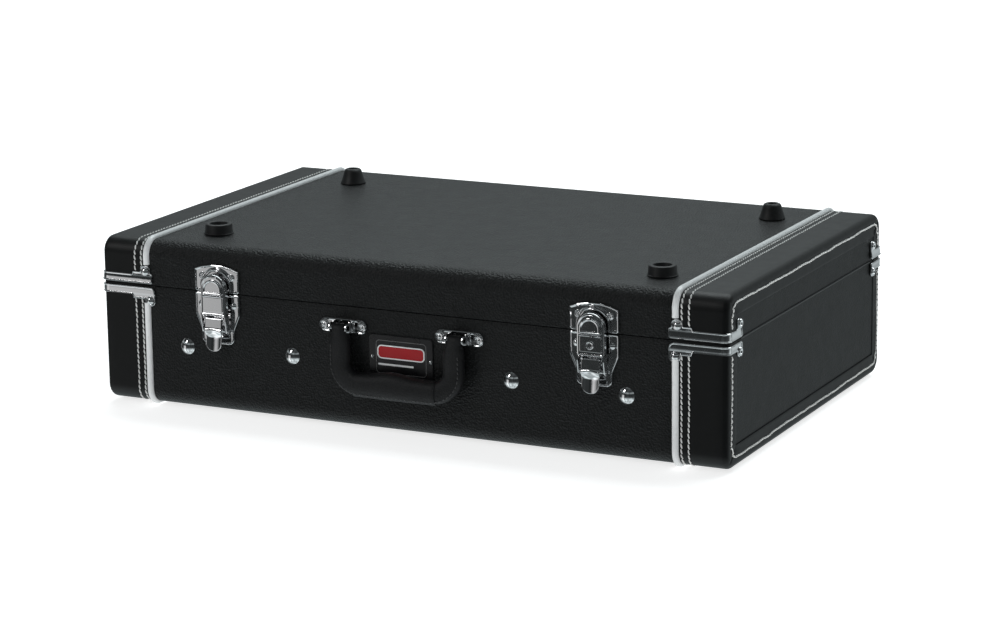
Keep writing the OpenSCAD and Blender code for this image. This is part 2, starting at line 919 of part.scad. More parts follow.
module deck_covering() {
    d = case_d - 2 * edge_r;
    color(plush_black) placed() translate([0, 0, case_h - skin_t - ply_t - deck_t])
        linear_extrude(deck_t) square([wrap_w - 4 * pad_gap, d], center = true);
}

// ---------- hinges ----------

// The knuckles of one leaf: even ones, or odd ones, widened by grow
module knuckle_row(odd, r, grow) {
    for (i = [0:knuckles - 1])
        if (i % 2 == (odd ? 1 : 0))
            side_slab(-hinge_w / 2 + (i + 0.5) * knuckle_step, knuckle_step + grow)
                translate([hinge_axis, 0]) circle(r);
}

// dz is -1 for the leaf below the axis and 1 for the one above
module hinge_leaf(dz, odd) {
    bore_r = odd ? hinge_pin_r + run_fit : hinge_pin_r;
    difference() {
        union() {
            translate([-hinge_w / 2, dz > 0 ? part_gap : -leaf_h])
                cube([hinge_w, leaf_h - part_gap, sheet_t]);
            knuckle_row(odd, knuckle_r, -knuckle_gap);
        }
        knuckle_row(!odd, knuckle_r + knuckle_gap, knuckle_gap);
        side_slab(0, hinge_w + 2 * clear) translate([hinge_axis, 0]) circle(bore_r);
        for (dx = hinge_rivet_dx) translate([dx, dz * hinge_rivet_z]) drill(hinge_shank_r, clear);
    }
}

module at_hinges() {
    for (s = [-1, 1]) on_back(s * hinge_x, cover_h) children();
}

module hinge_cover_leaves() {
    color(chrome) placed() at_hinges() hinge_leaf(-1, false);
}

module hinge_board_leaves() {
    color(chrome) placed() at_hinges() hinge_leaf(1, true);
}

module hinge_pins() {
    color(chrome) placed() at_hinges() {
        side_slab(0, hinge_w + 2 * hinge_head_t) translate([hinge_axis, 0]) circle(hinge_pin_r);
        for (s = [-1, 1]) side_slab(s * (hinge_w + hinge_head_t) / 2, hinge_head_t)
            translate([hinge_axis, 0]) circle(hinge_head_r);
    }
}

module hinge_rivet() {
    translate([0, 0, sheet_t]) rivet(hinge_rivet_r, hinge_rivet_h, hinge_shank_r, sheet_t + rivet_depth);
}

module hinge_cover_rivets() {
    color(chrome) placed() hinge_points(-hinge_rivet_z) hinge_rivet();
}

module hinge_board_rivets() {
    color(chrome) placed() hinge_points(hinge_rivet_z) hinge_rivet();
}

// ---------- feet ----------

// Low front foot with a deep counterbore for its screw
module front_feet() {
    color(rubber_black) placed() foot_places(front_foot_y) difference() {
        union() {
            cylinder(r = front_flange[0], h = front_flange[1]);
            cylinder(r1 = front_foot_r[0], r2 = front_foot_r[1], h = front_foot_h);
        }
        translate([0, 0, foot_floor]) cylinder(r = front_bore_r, h = front_foot_h);
        drill(foot_shank_r, clear);
    }
}

// Tall rear foot: a cone on a flange
module rear_feet() {
    color(rubber_black) placed() foot_places(rear_foot_y) difference() {
        union() {
            cylinder(r = rear_flange[0], h = rear_flange[1]);
            cylinder(r1 = rear_foot_r[0], r2 = rear_foot_r[1], h = rear_foot_h);
        }
        translate([0, 0, foot_floor]) cylinder(r = rear_bore_r, h = rear_foot_h);
        drill(foot_shank_r, clear);
    }
}

module foot_screws() {
    color(chrome) placed() for (foot = [[front_foot_y, front_screw_r], [rear_foot_y, rear_screw_r]])
        foot_places(foot[0]) translate([0, 0, foot_floor])
            cross_screw(foot[1], foot_screw_h, foot_shank_r, foot_floor + rivet_depth);
}

cover_wrap_panel();
cover_end_panel(-1);  // cover_end_panel_left
cover_end_panel(1);  // cover_end_panel_right
cover_skin();
cover_band(-1);  // cover_band_left
cover_band(1);  // cover_band_right
cover_end_skin(-1);  // cover_end_skin_left
cover_end_skin(1);  // cover_end_skin_right
cover_piping(-1);  // cover_piping_left
cover_piping(1);  // cover_piping_right
cover_corner_clasps();
cover_clasp_rivets();
latch_base(-1);  // latch_base_left
latch_base(1);  // latch_base_right
latch_base_rivets();
latch_lever_pins();
latch_lever(-1);  // latch_lever_left
latch_lever(1);  // latch_lever_right
latch_hasp_pin(-1);  // latch_hasp_pin_left
latch_hasp_pin(1);  // latch_hasp_pin_right
latch_hasp(-1);  // latch_hasp_left
latch_hasp(1);  // latch_hasp_right
lock_cylinder();
handle_plates();
handle_plate_rivets();
handle_pins();
handle();
badge_plate();
badge_label();
badge_rivets();
dome_rivets();
cover_floor_pad();
cover_wall_lining();
hinge_cover_leaves();
hinge_pins();
hinge_cover_rivets();
board_wrap_panel();
board_end_panel(-1);  // board_end_panel_left
board_end_panel(1);  // board_end_panel_right
board_skin();
board_band(-1);  // board_band_left
board_band(1);  // board_band_right
board_end_skin(-1);  // board_end_skin_left
board_end_skin(1);  // board_end_skin_right
board_piping(-1);  // board_piping_left
board_piping(1);  // board_piping_right
board_corner_clasps();
board_clasp_rivets();
latch_keepers();
keeper_screws();
front_feet();
rear_feet();
foot_screws();
deck_covering();
hinge_board_leaves();
hinge_board_rivets();
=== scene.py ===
"""Looks of the pedalboard case: vinyl, piping, stitching, chrome hardware, handle, feet and lining.

Shapes are worked out in millimetres of the case itself: x to the right, y to the back from the
case's middle, z up from the covering's underside. place() turns such a point into the row frame.
"""

import json
import math
import random

import bmesh
import bpy
from mathutils import Matrix, Vector


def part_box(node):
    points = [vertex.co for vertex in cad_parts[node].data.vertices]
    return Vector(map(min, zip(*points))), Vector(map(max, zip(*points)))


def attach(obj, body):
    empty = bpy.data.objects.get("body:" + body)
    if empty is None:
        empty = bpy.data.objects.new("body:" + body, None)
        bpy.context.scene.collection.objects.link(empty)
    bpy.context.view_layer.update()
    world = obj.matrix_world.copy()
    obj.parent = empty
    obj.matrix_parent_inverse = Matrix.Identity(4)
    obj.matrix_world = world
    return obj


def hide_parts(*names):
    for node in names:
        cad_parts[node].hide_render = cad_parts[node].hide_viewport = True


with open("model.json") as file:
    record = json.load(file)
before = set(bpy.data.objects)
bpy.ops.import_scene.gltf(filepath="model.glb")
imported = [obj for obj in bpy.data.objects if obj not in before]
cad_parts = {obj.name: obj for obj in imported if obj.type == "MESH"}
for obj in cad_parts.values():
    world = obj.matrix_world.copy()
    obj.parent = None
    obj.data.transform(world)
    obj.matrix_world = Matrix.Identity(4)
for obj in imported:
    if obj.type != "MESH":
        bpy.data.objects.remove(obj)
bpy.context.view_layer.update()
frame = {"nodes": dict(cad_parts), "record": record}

MM = 0.001
SEED = 11


# ---------- sizes, read from the frame ----------

def box_mm(node):
    """The lower and the upper corner of a CAD node's box, in millimetres."""
    lo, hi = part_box(node)
    return [v / MM for v in lo], [v / MM for v in hi]


COVER_LO, COVER_HI = box_mm("cover_skin")
BOARD_LO, BOARD_HI = box_mm("board_skin")
BEAD_LO, BEAD_HI = box_mm("cover_piping_right")
BASE_LO, BASE_HI = box_mm("latch_base_right")
KEEPER_LO, KEEPER_HI = box_mm("latch_keepers")
HASP_LO, HASP_HI = box_mm("latch_hasp_right")
HANDLE_PIN_LO, HANDLE_PIN_HI = box_mm("handle_pins")

LIFT = COVER_LO[2]
SHELL_Y = (COVER_LO[1] + COVER_HI[1]) / 2
CASE_D = COVER_HI[1] - COVER_LO[1]
CASE_W = 2 * box_mm("cover_band_right")[1][0]
CASE_H = BOARD_HI[2] - LIFT
COVER_TOP = COVER_HI[2] - LIFT
BOARD_LOW = BOARD_LO[2] - LIFT
BEAD_X = (BEAD_LO[0] + BEAD_HI[0]) / 2
BEAD_W = BEAD_HI[0] - BEAD_LO[0]
BEAD_H = LIFT
LOWER_BEAD_END = BEAD_HI[2] - LIFT
UPPER_BEAD_END = box_mm("board_piping_right")[0][2] - LIFT
EDGE_R = 11.5  # rounding of the long edges
END_R = 4.5  # rounding of the edges round each end face
SKIN_T = 1.0
FLANGE_W = 16.0  # band folded onto the end face
END_T = 8.0
LATCH_HALF = (BASE_HI[0] - BASE_LO[0]) / 2
LATCH_X = (BASE_LO[0] + BASE_HI[0]) / 2
HASP_HALF = (HASP_HI[0] - HASP_LO[0]) / 2
MOUNT_Z = (HANDLE_PIN_LO[2] + HANDLE_PIN_HI[2]) / 2 - LIFT
MOUNT_X = 46.6


def place(p):
    """A point of the case, in millimetres, as a point of the frame, in metres."""
    return Vector((p[0] * MM, (p[1] + SHELL_Y) * MM, (p[2] + LIFT) * MM))


def front(x, z, out):
    """A point on the front face, out millimetres proud of it."""
    return (x, -CASE_D / 2 - out, z)


def back(x, z, out):
    """A point on the back face, out millimetres proud of it."""
    return (x, CASE_D / 2 + out, z)


def half_name(board):
    return "board" if board else "cover"


def side_name(side):
    return "right" if side > 0 else "left"


# ---------- meshes ----------

class Shape:
    """Vertices and faces gathered from several simple parts before they become one mesh."""

    def __init__(self):
        self.verts = []
        self.faces = []

    def add(self, verts, faces):
        start = len(self.verts)
        self.verts += [tuple(v) for v in verts]
        self.faces += [[i + start for i in f] for f in faces]

    def rows(self, rows, closed=False, caps=False):
        """A skin over equal rows of points; closed joins each row's ends, caps fills both end rows."""
        n = len(rows[0])
        verts = [p for row in rows for p in row]
        faces = []
        for r in range(len(rows) - 1):
            for i in range(n if closed else n - 1):
                j = (i + 1) % n
                faces.append([r * n + i, r * n + j, (r + 1) * n + j, (r + 1) * n + i])
        if caps:
            faces.append(list(range(n))[::-1])
            faces.append([(len(rows) - 1) * n + i for i in range(n)])
        self.add(verts, faces)

    def lathe(self, profile, at, segments=40):
        """A turned solid: profile holds (radius, height), at(a, b, h) places a point."""
        rows = []
        for radius, height in profile:
            radius = max(radius, 0.001)
            rows.append([
                at(radius * math.cos(t), radius * math.sin(t), height)
                for t in (2 * math.pi * i / segments for i in range(segments))
            ])
        self.rows(rows, closed=True, caps=True)


def build(shape, name, body, slot, node=None, look=None, solid=0.0, bevel=0.0, subdiv=0, merge=0.002):
    """Turns a Shape into a finished piece that rides on a body and replaces a CAD node, where one is given.
    Its material is look, or else the slot's own."""
    mesh = bpy.data.meshes.new(name)
    mesh.from_pydata([place(v) for v in shape.verts], [], shape.faces)
    obj = bpy.data.objects.new(name, mesh)
    bpy.context.scene.collection.objects.link(obj)
    clean(mesh, merge * MM)
    if solid:
        m = obj.modifiers.new("thickness", "SOLIDIFY")
        m.thickness = abs(solid) * MM
        m.offset = -1.0 if solid > 0 else 1.0
        m.use_even_offset = True
    if bevel:
        m = obj.modifiers.new("edges", "BEVEL")
        m.width = bevel * MM
        m.segments = 2
        m.limit_method = "ANGLE"
        m.angle_limit = math.radians(35)
    if subdiv:
        m = obj.modifiers.new("smooth", "SUBSURF")
        m.levels = m.render_levels = subdiv
    if obj.modifiers:
        apply_modifiers(obj)
    shade(obj)
    obj.data.materials.append(LOOKS[slot] if look is None else look)
    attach(obj, body)
    replaces = (node,) if node else ()
    if replaces:
        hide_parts(*replaces)
    return obj


def clean(mesh, distance):
    """Merges points closer than distance and turns every face outwards."""
    bm = bmesh.new()
    bm.from_mesh(mesh)
    bmesh.ops.remove_doubles(bm, verts=bm.verts, dist=distance)
    bmesh.ops.dissolve_degenerate(bm, edges=bm.edges, dist=distance / 2)
    bmesh.ops.recalc_face_normals(bm, faces=bm.faces)
    bm.to_mesh(mesh)
    bm.free()


def apply_modifiers(obj):
    graph = bpy.context.evaluated_depsgraph_get()
    mesh = bpy.data.meshes.new_from_object(obj.evaluated_get(graph))
    old = obj.data
    obj.modifiers.clear()
    obj.data = mesh
    bpy.data.meshes.remove(old)


def shade(obj, angle=32):
    """Smooth shading with sharp edges where faces meet at more than angle degrees."""
    mesh = obj.data
    bm = bmesh.new()
    bm.from_mesh(mesh)
    limit = math.radians(angle)
    for f in bm.faces:
        f.smooth = True
    for e in bm.edges:
        e.smooth = not (len(e.link_faces) == 2 and e.calc_face_angle(0) > limit)
    bm.to_mesh(mesh)
    bm.free()


def smooth_step(t):
    t = max(0.0, min(1.0, t))
    return t * t * (3 - 2 * t)


def arc(cx, cy, r, a0, a1, n):
    """n + 1 points from angle a0 to a1, in degrees."""
    return [
        (cx + r * math.cos(math.radians(a0 + (a1 - a0) * i / n)),
         cy + r * math.sin(math.radians(a0 + (a1 - a0) * i / n)))
        for i in range(n + 1)
    ]


def rect(x0, y0, x1, y1, r, top_r=None):
    """Corners of a rounded rectangle; top_r is the upper corners' radius where it differs."""
    top_r = r if top_r is None else top_r
    return [(x0, y0, r), (x1, y0, r), (x1, y1, top_r), (x0, y1, top_r)]


def outline(corners, inset=0.0, seg=6):
    """A closed outline with rounded corners (x, y, r), counter-clockwise, moved inwards by inset."""
    points = []
    count = len(corners)
    for i, (x, y, r) in enumerate(corners):
        p, q = Vector(corners[i - 1][:2]), Vector(corners[(i + 1) % count][:2])
        c = Vector((x, y))
        d0, d1 = (c - p).normalized(), (q - c).normalized()
        n0, n1 = Vector((-d0.y, d0.x)), Vector((-d1.y, d1.x))
        turn = d0.x * d1.y - d0.y * d1.x
        bis = (n0 + n1).normalized()
        corner = c + bis * (inset / max(bis.dot(n0), 0.2))
        radius = max(r - inset if turn > 0 else r + inset, 0.02)
        half = math.acos(max(-1, min(1, d0.dot(d1)))) / 2
        if half < 0.02:
            points += [tuple(corner)] * (seg + 1)
            continue
        reach = radius * math.tan(half)
        side = 1 if turn > 0 else -1
        centre = corner - d0 * reach + n0 * side * radius
        start = corner - d0 * reach - centre
        for k in range(seg + 1):
            a = side * 2 * half * k / seg
            points.append((centre.x + start.x * math.cos(a) - start.y * math.sin(a),
                           centre.y + start.x * math.sin(a) + start.y * math.cos(a)))
    return points


def pressing(shape, corners, steps, at, seg=6):
    """Sheet metal pressed from an outline: steps holds (inset, height); at(x, y, h) places a point.
    One more narrow ring keeps the middle field flat in the shading."""
    last, top = steps[-1]
    rows = [[at(x, y, h) for x, y in outline(corners, i, seg)] for i, h in [*steps, (last + 0.07, top)]]
    shape.rows(rows, closed=True, caps=True)


def sheet(shape, corners, steps, warp, pitch=(0, 0), seg=6):
    """Pressed sheet metal: made flat as (x, y, height), cut into strips of pitch millimetres so that it
    can bend, and moved by warp(x, y, height)."""
    flat = Shape()
    pressing(flat, corners, steps, lambda x, y, h: (x, y, h), seg)
    bm = bmesh.new()
    verts = [bm.verts.new(v) for v in flat.verts]
    for f in flat.faces:
        bm.faces.new([verts[i] for i in f])
    bm.normal_update()
    bmesh.ops.triangulate(bm, faces=[f for f in bm.faces if len(f.verts) > 4])
    for axis in (0, 1):
        if not pitch[axis]:
            continue
        lo = min(v[axis] for v in flat.verts)
        hi = max(v[axis] for v in flat.verts)
        normal = Vector((axis == 0, axis == 1, 0))
        for k in range(1, int((hi - lo) / pitch[axis]) + 1):
            bmesh.ops.bisect_plane(bm, geom=bm.verts[:] + bm.edges[:] + bm.faces[:], dist=1e-5,
                                   plane_co=normal * (lo + k * pitch[axis]), plane_no=normal)
    bm.verts.index_update()
    shape.add([warp(*v.co) for v in bm.verts], [[v.index for v in f.verts] for f in bm.faces])
    bm.free()


def rail(shape, path, profile, at, closed=False):
    """A bar swept along a flat path; profile holds (sideways, height) points round the bar."""
    rows = []
    n = len(path)
    for i, (x, y) in enumerate(path):
        p = path[i - 1] if closed or i else path[0]
        q = path[(i + 1) % n] if closed or i + 1 < n else path[-1]
        along = Vector((q[0] - p[0], q[1] - p[1])).normalized()
        rows.append([at(x - along.y * a, y + along.x * a, h) for a, h in profile])
    if closed:
        rows.append(rows[0])
    shape.rows(rows, closed=True, caps=not closed)


def slab(shape, x0, x1, outline_points, at, edge=0.2):
    """A plate standing on edge between x0 and x1; its outline is given as (out, z)."""
    corners = [(u, v, 0.3) for u, v in outline_points]
    steps = [(edge, x0), (0, x0 + edge), (0, x1 - edge), (edge, x1)]
    pressing(shape, corners, steps, lambda u, v, x: at(x, v, u), 2)


def disc(shape, x0, x1, out, z, r, at, edge=0.2):
    """A round pin or boss lying along X between x0 and x1."""
    profile = [(r - edge, x0), (r, x0 + edge), (r, x1 - edge), (r - edge, x1)]
    shape.lathe(profile, lambda a, b, h: at(h, z + b, out + a), 24)


def stud(shape, profile, at, x, z, out, segments):
    """A turned head at (x, z), its underside out millimetres proud of the face that at() describes."""
    shape.lathe(profile, lambda a, b, h: at(x + a, z + b, out + h), segments)


def dome_profile(r, h, n=9, lip=0.25):
    """A domed head with a thin lip on its underside."""
    ball = (r * r + h * h) / (2 * h)
    top = math.asin(min(1.0, r / ball))
    return [(r, 0), (r, lip * 0.4)] + [
        (ball * math.sin(top * (n - i) / n), lip * 0.4 + ball * math.cos(top * (n - i) / n) - (ball - h))
        for i in range(n)
    ]


# ---------- materials ----------

def node_material(name):
    """A new material, its node tree, its shader and its object coordinates."""
    mat = bpy.data.materials.new(name)
    mat.use_nodes = True
    tree = mat.node_tree
    bsdf = tree.nodes["Principled BSDF"]
    coords = tree.nodes.new("ShaderNodeTexCoord")
    return mat, tree, bsdf, coords.outputs["Object"]


def set_inputs(tree, node, inputs):
    """Links each input that is given a socket and sets each one that is given a value."""
    for key, value in inputs.items():
        if isinstance(value, bpy.types.NodeSocket):
            tree.links.new(value, node.inputs[key])
        else:
            node.inputs[key].default_value = value


def add_node(tree, kind, inputs=(), **settings):
    node = tree.nodes.new(kind)
    for key, value in settings.items():
        setattr(node, key, value)
    set_inputs(tree, node, dict(inputs))
    return node


def noise(tree, coords, scale, detail=2.0, rough=0.5):
    return add_node(tree, "ShaderNodeTexNoise",
                    {"Vector": coords, "Scale": scale, "Detail": detail, "Roughness": rough}).outputs["Fac"]


def spread(tree, fac, low, high, lo=0.3, hi=0.7):
    """fac between lo and hi mapped to low .. high."""
    node = add_node(tree, "ShaderNodeMapRange",
                    {"Value": fac, "From Min": lo, "From Max": hi, "To Min": low, "To Max": high})
    return node.outputs["Result"]


def blend_colour(tree, fac, a, b):
    """Mixes two colours, each given as (r, g, b) or as a socket."""
    colours = {key: (*c, 1) if isinstance(c, tuple) else c for key, c in ((6, a), (7, b))}
    return add_node(tree, "ShaderNodeMix", {"Factor": fac, **colours}, data_type="RGBA").outputs[2]


def bump(tree, height, distance, strength=1.0, normal=None):
    inputs = {"Height": height, "Distance": distance, "Strength": strength}
    if normal is not None:
        inputs["Normal"] = normal
    return add_node(tree, "ShaderNodeBump", inputs).outputs["Normal"]


def math_node(tree, operation, *values):
    return add_node(tree, "ShaderNodeMath", dict(enumerate(values)), operation=operation).outputs[0]


def leather(name, dark, light, rough, grain, depth, wrinkle=0.0, shine=0.3):
    """Vinyl with a pebbled grain: grain is the pebble size and depth its height, in millimetres."""
    mat, tree, bsdf, coords = node_material(name)
    warp = add_node(tree, "ShaderNodeTexNoise", {"Vector": coords, "Scale": 400.0, "Detail": 2.0})
    shift = add_node(tree, "ShaderNodeVectorMath", {0: warp.outputs["Color"], 1: (0.0007,) * 3},
                     operation="MULTIPLY")
    moved = add_node(tree, "ShaderNodeVectorMath", {0: coords, 1: shift.outputs[0]}, operation="ADD")
    cells = add_node(tree, "ShaderNodeTexVoronoi",
                     {"Vector": moved.outputs[0], "Scale": 1 / (grain * MM), "Smoothness": 0.35},
                     feature="SMOOTH_F1").outputs["Distance"]
    pores = noise(tree, coords, 2600.0, 3.0)
    patches = noise(tree, coords, 90.0, 3.0, 0.6)
    normal = bump(tree, math_node(tree, "MULTIPLY_ADD", pores, 0.25, cells), depth * MM, 0.9)
    if wrinkle:
        normal = bump(tree, noise(tree, coords, 45.0, 2.0), wrinkle * MM, 0.6, normal)
    tint = math_node(tree, "MULTIPLY", spread(tree, patches, 0.35, 0.65),
                     spread(tree, cells, 1.3, 0.5, 0.1, 0.8))
    set_inputs(tree, bsdf, {"Base Color": blend_colour(tree, tint, dark, light),
                            "Roughness": spread(tree, patches, rough - 0.02, rough + 0.03),
                            "Normal": normal, "Specular IOR Level": shine})
    return mat


def chrome(name, tone=0.86, rough=0.08):
    """Polished plating with a faint haze."""
    mat, tree, bsdf, coords = node_material(name)
    haze = noise(tree, coords, 160.0, 4.0, 0.6)
    fine = noise(tree, coords, 700.0, 2.0)
    colour = blend_colour(tree, haze, (tone * 0.92,) * 3, (tone, tone, tone * 1.02))
    set_inputs(tree, bsdf, {"Metallic": 1.0, "Base Color": colour,
                            "Roughness": spread(tree, haze, rough * 0.7, rough * 1.5),
                            "Normal": bump(tree, fine, 0.002 * MM, 0.5)})
    return mat


def plastic(name, dark, light, rough, fine_scale=1500.0, depth=0.01, coat=0.0):
    """Moulded plastic, rubber or paint: soft patches and a fine surface, depth millimetres deep."""
    mat, tree, bsdf, coords = node_material(name)
    patches = noise(tree, coords, 120.0, 3.0, 0.6)
    fine = noise(tree, coords, fine_scale, 3.0)
    set_inputs(tree, bsdf, {"Base Color": blend_colour(tree, patches, dark, light),
                            "Roughness": spread(tree, patches, rough - 0.05, rough + 0.08),
                            "Normal": bump(tree, fine, depth * MM, 0.7),
                            "Coat Weight": coat, "Coat Roughness": 0.12})
    return mat


def thread(name, dark, light):
    """Twisted sewing thread."""
    mat, tree, bsdf, coords = node_material(name)
    ply = add_node(tree, "ShaderNodeTexWave", {"Vector": coords, "Scale": 900.0, "Distortion": 1.5},
                   bands_direction="DIAGONAL").outputs["Fac"]
    set_inputs(tree, bsdf, {"Base Color": blend_colour(tree, ply, dark, light),
                            "Normal": bump(tree, ply, 0.12 * MM, 0.8),
                            "Roughness": 0.75, "Sheen Weight": 0.3})
    return mat


def pile(name, dark, light, scale, depth, sheen):
    """Plush or loop fabric: short tufts of about 1000 / scale millimetres."""
    mat, tree, bsdf, coords = node_material(name)
    tufts = add_node(tree, "ShaderNodeTexVoronoi", {"Vector": coords, "Scale": scale}).outputs["Distance"]
    fuzz = noise(tree, coords, scale * 2.5, 3.0, 0.7)
    nap = noise(tree, coords, 30.0, 3.0, 0.6)
    both = math_node(tree, "ADD", tufts, fuzz)
    shade_by = math_node(tree, "MULTIPLY", both, spread(tree, nap, 0.5, 1.0))
    set_inputs(tree, bsdf, {"Base Color": blend_colour(tree, shade_by, dark, light),
                            "Normal": bump(tree, both, depth * MM),
                            "Roughness": 0.95, "Sheen Weight": sheen, "Sheen Roughness": 0.5})
    return mat


def plywood(name):
    """Birch ply: long figure on the faces, thin dark and light layers on the edges."""
    mat, tree, bsdf, coords = node_material(name)
    stretched = add_node(tree, "ShaderNodeMapping", {"Vector": coords, "Scale": (6.0, 90.0, 90.0)})
    figure = noise(tree, stretched.outputs[0], 1.5, 5.0, 0.6)
    plies = add_node(tree, "ShaderNodeTexWave", {"Vector": coords, "Scale": 110.0, "Distortion": 0.4},
                     bands_direction="Z").outputs["Fac"]
    tone = math_node(tree, "MULTIPLY_ADD", plies, 0.25, figure)
    set_inputs(tree, bsdf, {"Base Color": blend_colour(tree, tone, (0.36, 0.22, 0.11), (0.66, 0.47, 0.27)),
                            "Normal": bump(tree, figure, 0.08 * MM, 0.6), "Roughness": 0.6})
    return mat


GRAINED = leather("grained_vinyl", (0.003, 0.0033, 0.0034), (0.009, 0.0098, 0.01), 0.43, 1.5, 0.6)
END_GRAIN = leather("end_vinyl", (0.0035, 0.0039, 0.004), (0.008, 0.0088, 0.009), 0.46, 1.1, 0.2)
SMOOTH = leather("smooth_vinyl", (0.0008, 0.0009, 0.001), (0.0016, 0.0018, 0.002), 0.44, 0.6, 0.04,
                 wrinkle=0.12, shine=0.38)
# the welt's vinyl: the band's smooth vinyl painted about twenty times lighter, a painted highlight line along
# the end face's upper edge
WELT_PAINTED_HIGHLIGHT = leather("rolled_vinyl_painted_highlight", (0.02, 0.0215, 0.022), (0.035, 0.037, 0.038), 0.3, 0.8, 0.03)
HANDLE_SKIN = leather("handle_vinyl", (0.007, 0.0072, 0.0078), (0.016, 0.0165, 0.0175), 0.5, 1.1, 0.2, 0.2)
WHITE = plastic("white_piping", (0.82, 0.83, 0.84), (0.92, 0.93, 0.93), 0.28, 900.0, 0.01, 0.4)
CHROME = chrome("chrome_plate")
RUBBER = plastic("foot_rubber", (0.004, 0.004, 0.0045), (0.009, 0.009, 0.0095), 0.5, 1800.0, 0.03)
ENAMEL = plastic("red_enamel", (0.36, 0.0, 0.004), (0.4, 0.0005, 0.006), 0.6, 2500.0, 0.01)
GREY_LINE = plastic("grey_line", (0.1, 0.1, 0.1), (0.16, 0.16, 0.16), 0.4)
BADGE = plastic("badge_black", (0.006, 0.006, 0.007), (0.012, 0.012, 0.013), 0.3, 1200.0, 0.006, 0.3)
THREAD = thread("white_thread", (0.68, 0.68, 0.67), (0.92, 0.92, 0.9))
DARK_THREAD = thread("dark_thread", (0.01, 0.01, 0.011), (0.05, 0.05, 0.052))
PLUSH = pile("plush_lining", (0.006, 0.006, 0.007), (0.045, 0.045, 0.05), 1400.0, 0.5, 0.6)
LOOP = pile("loop_fabric", (0.008, 0.008, 0.009), (0.05, 0.05, 0.052), 800.0, 0.6, 0.3)
WOOD = plywood("plywood")

# the material of each slot in the record
LOOKS = {"chrome_plate": CHROME, "plywood": WOOD, "foot_rubber": RUBBER, "handle_vinyl": HANDLE_SKIN,
         "badge_black": BADGE, "plush_lining": PLUSH, "loop_fabric": LOOP, "white_piping": WHITE,
         "grained_vinyl": GRAINED, "smooth_vinyl": SMOOTH, "red_enamel": ENAMEL}


# ---------- camera, light and floor ----------

LENS = 116.07
LENS_SHIFT = (0.0016, -0.0169)
CAMERA_AT = (1045.6, -2120.7, 622.3)
CAMERA_TURN = (-0.4574, 0.2295, -0.0122)
FLOOR_HALF = 14.0


def camera_rotation(yaw, pitch, roll):
    """World matrix of a camera at this heading, looking down by pitch, tilted by roll."""
    ahead = Vector((math.sin(yaw) * math.cos(pitch), math.cos(yaw) * math.cos(pitch), -math.sin(pitch)))
    level = Vector((math.cos(yaw), -math.sin(yaw), 0))
    raised = level.cross(ahead)
    right = math.cos(roll) * level + math.sin(roll) * raised
    up = -math.sin(roll) * level + math.cos(roll) * raised
    return Matrix((right, up, -ahead)).transposed().to_4x4()


def add_camera():
    data = bpy.data.cameras.new("camera")
    data.sensor_width = 36.0
    data.lens = LENS
    data.shift_x, data.shift_y = LENS_SHIFT
    data.clip_end = 100.0
    cam = bpy.data.objects.new("camera", data)
    cam.matrix_world = Matrix.Translation(place(CAMERA_AT)) @ camera_rotation(*CAMERA_TURN)
    bpy.context.scene.collection.objects.link(cam)
    bpy.context.scene.camera = cam


def add_area(name, at, to, size, power, tone=(1, 1, 1)):
    data = bpy.data.lights.new(name, "AREA")
    data.shape = "RECTANGLE"
    data.size, data.size_y = size
    data.energy = power
    data.color = tone
    lamp = bpy.data.objects.new(name, data)
    lamp.location = at
    lamp.rotation_euler = (Vector(to) - Vector(at)).to_track_quat("-Z", "Y").to_euler()
    bpy.context.scene.collection.objects.link(lamp)


def add_stage():
    """A pale floor that isn't seen in the chrome."""
    mesh = bpy.data.meshes.new("floor")
    size = FLOOR_HALF
    corners = [(-size, -size, 0), (size, -size, 0), (size, size, 0), (-size, size, 0)]
    mesh.from_pydata(corners, [], [(0, 1, 2, 3)])
    floor = bpy.data.objects.new("floor", mesh)
    mat, tree, bsdf, coords = node_material("floor")
    colour = blend_colour(tree, noise(tree, coords, 3.0), (0.88, 0.88, 0.88), (0.9, 0.9, 0.9))
    set_inputs(tree, bsdf, {"Base Color": colour, "Roughness": 0.8, "Specular IOR Level": 0.1,
                            "Emission Color": (1, 1, 1, 1), "Emission Strength": 0.75})
    mesh.materials.append(mat)
    bpy.context.scene.collection.objects.link(floor)
    floor.visible_glossy = False


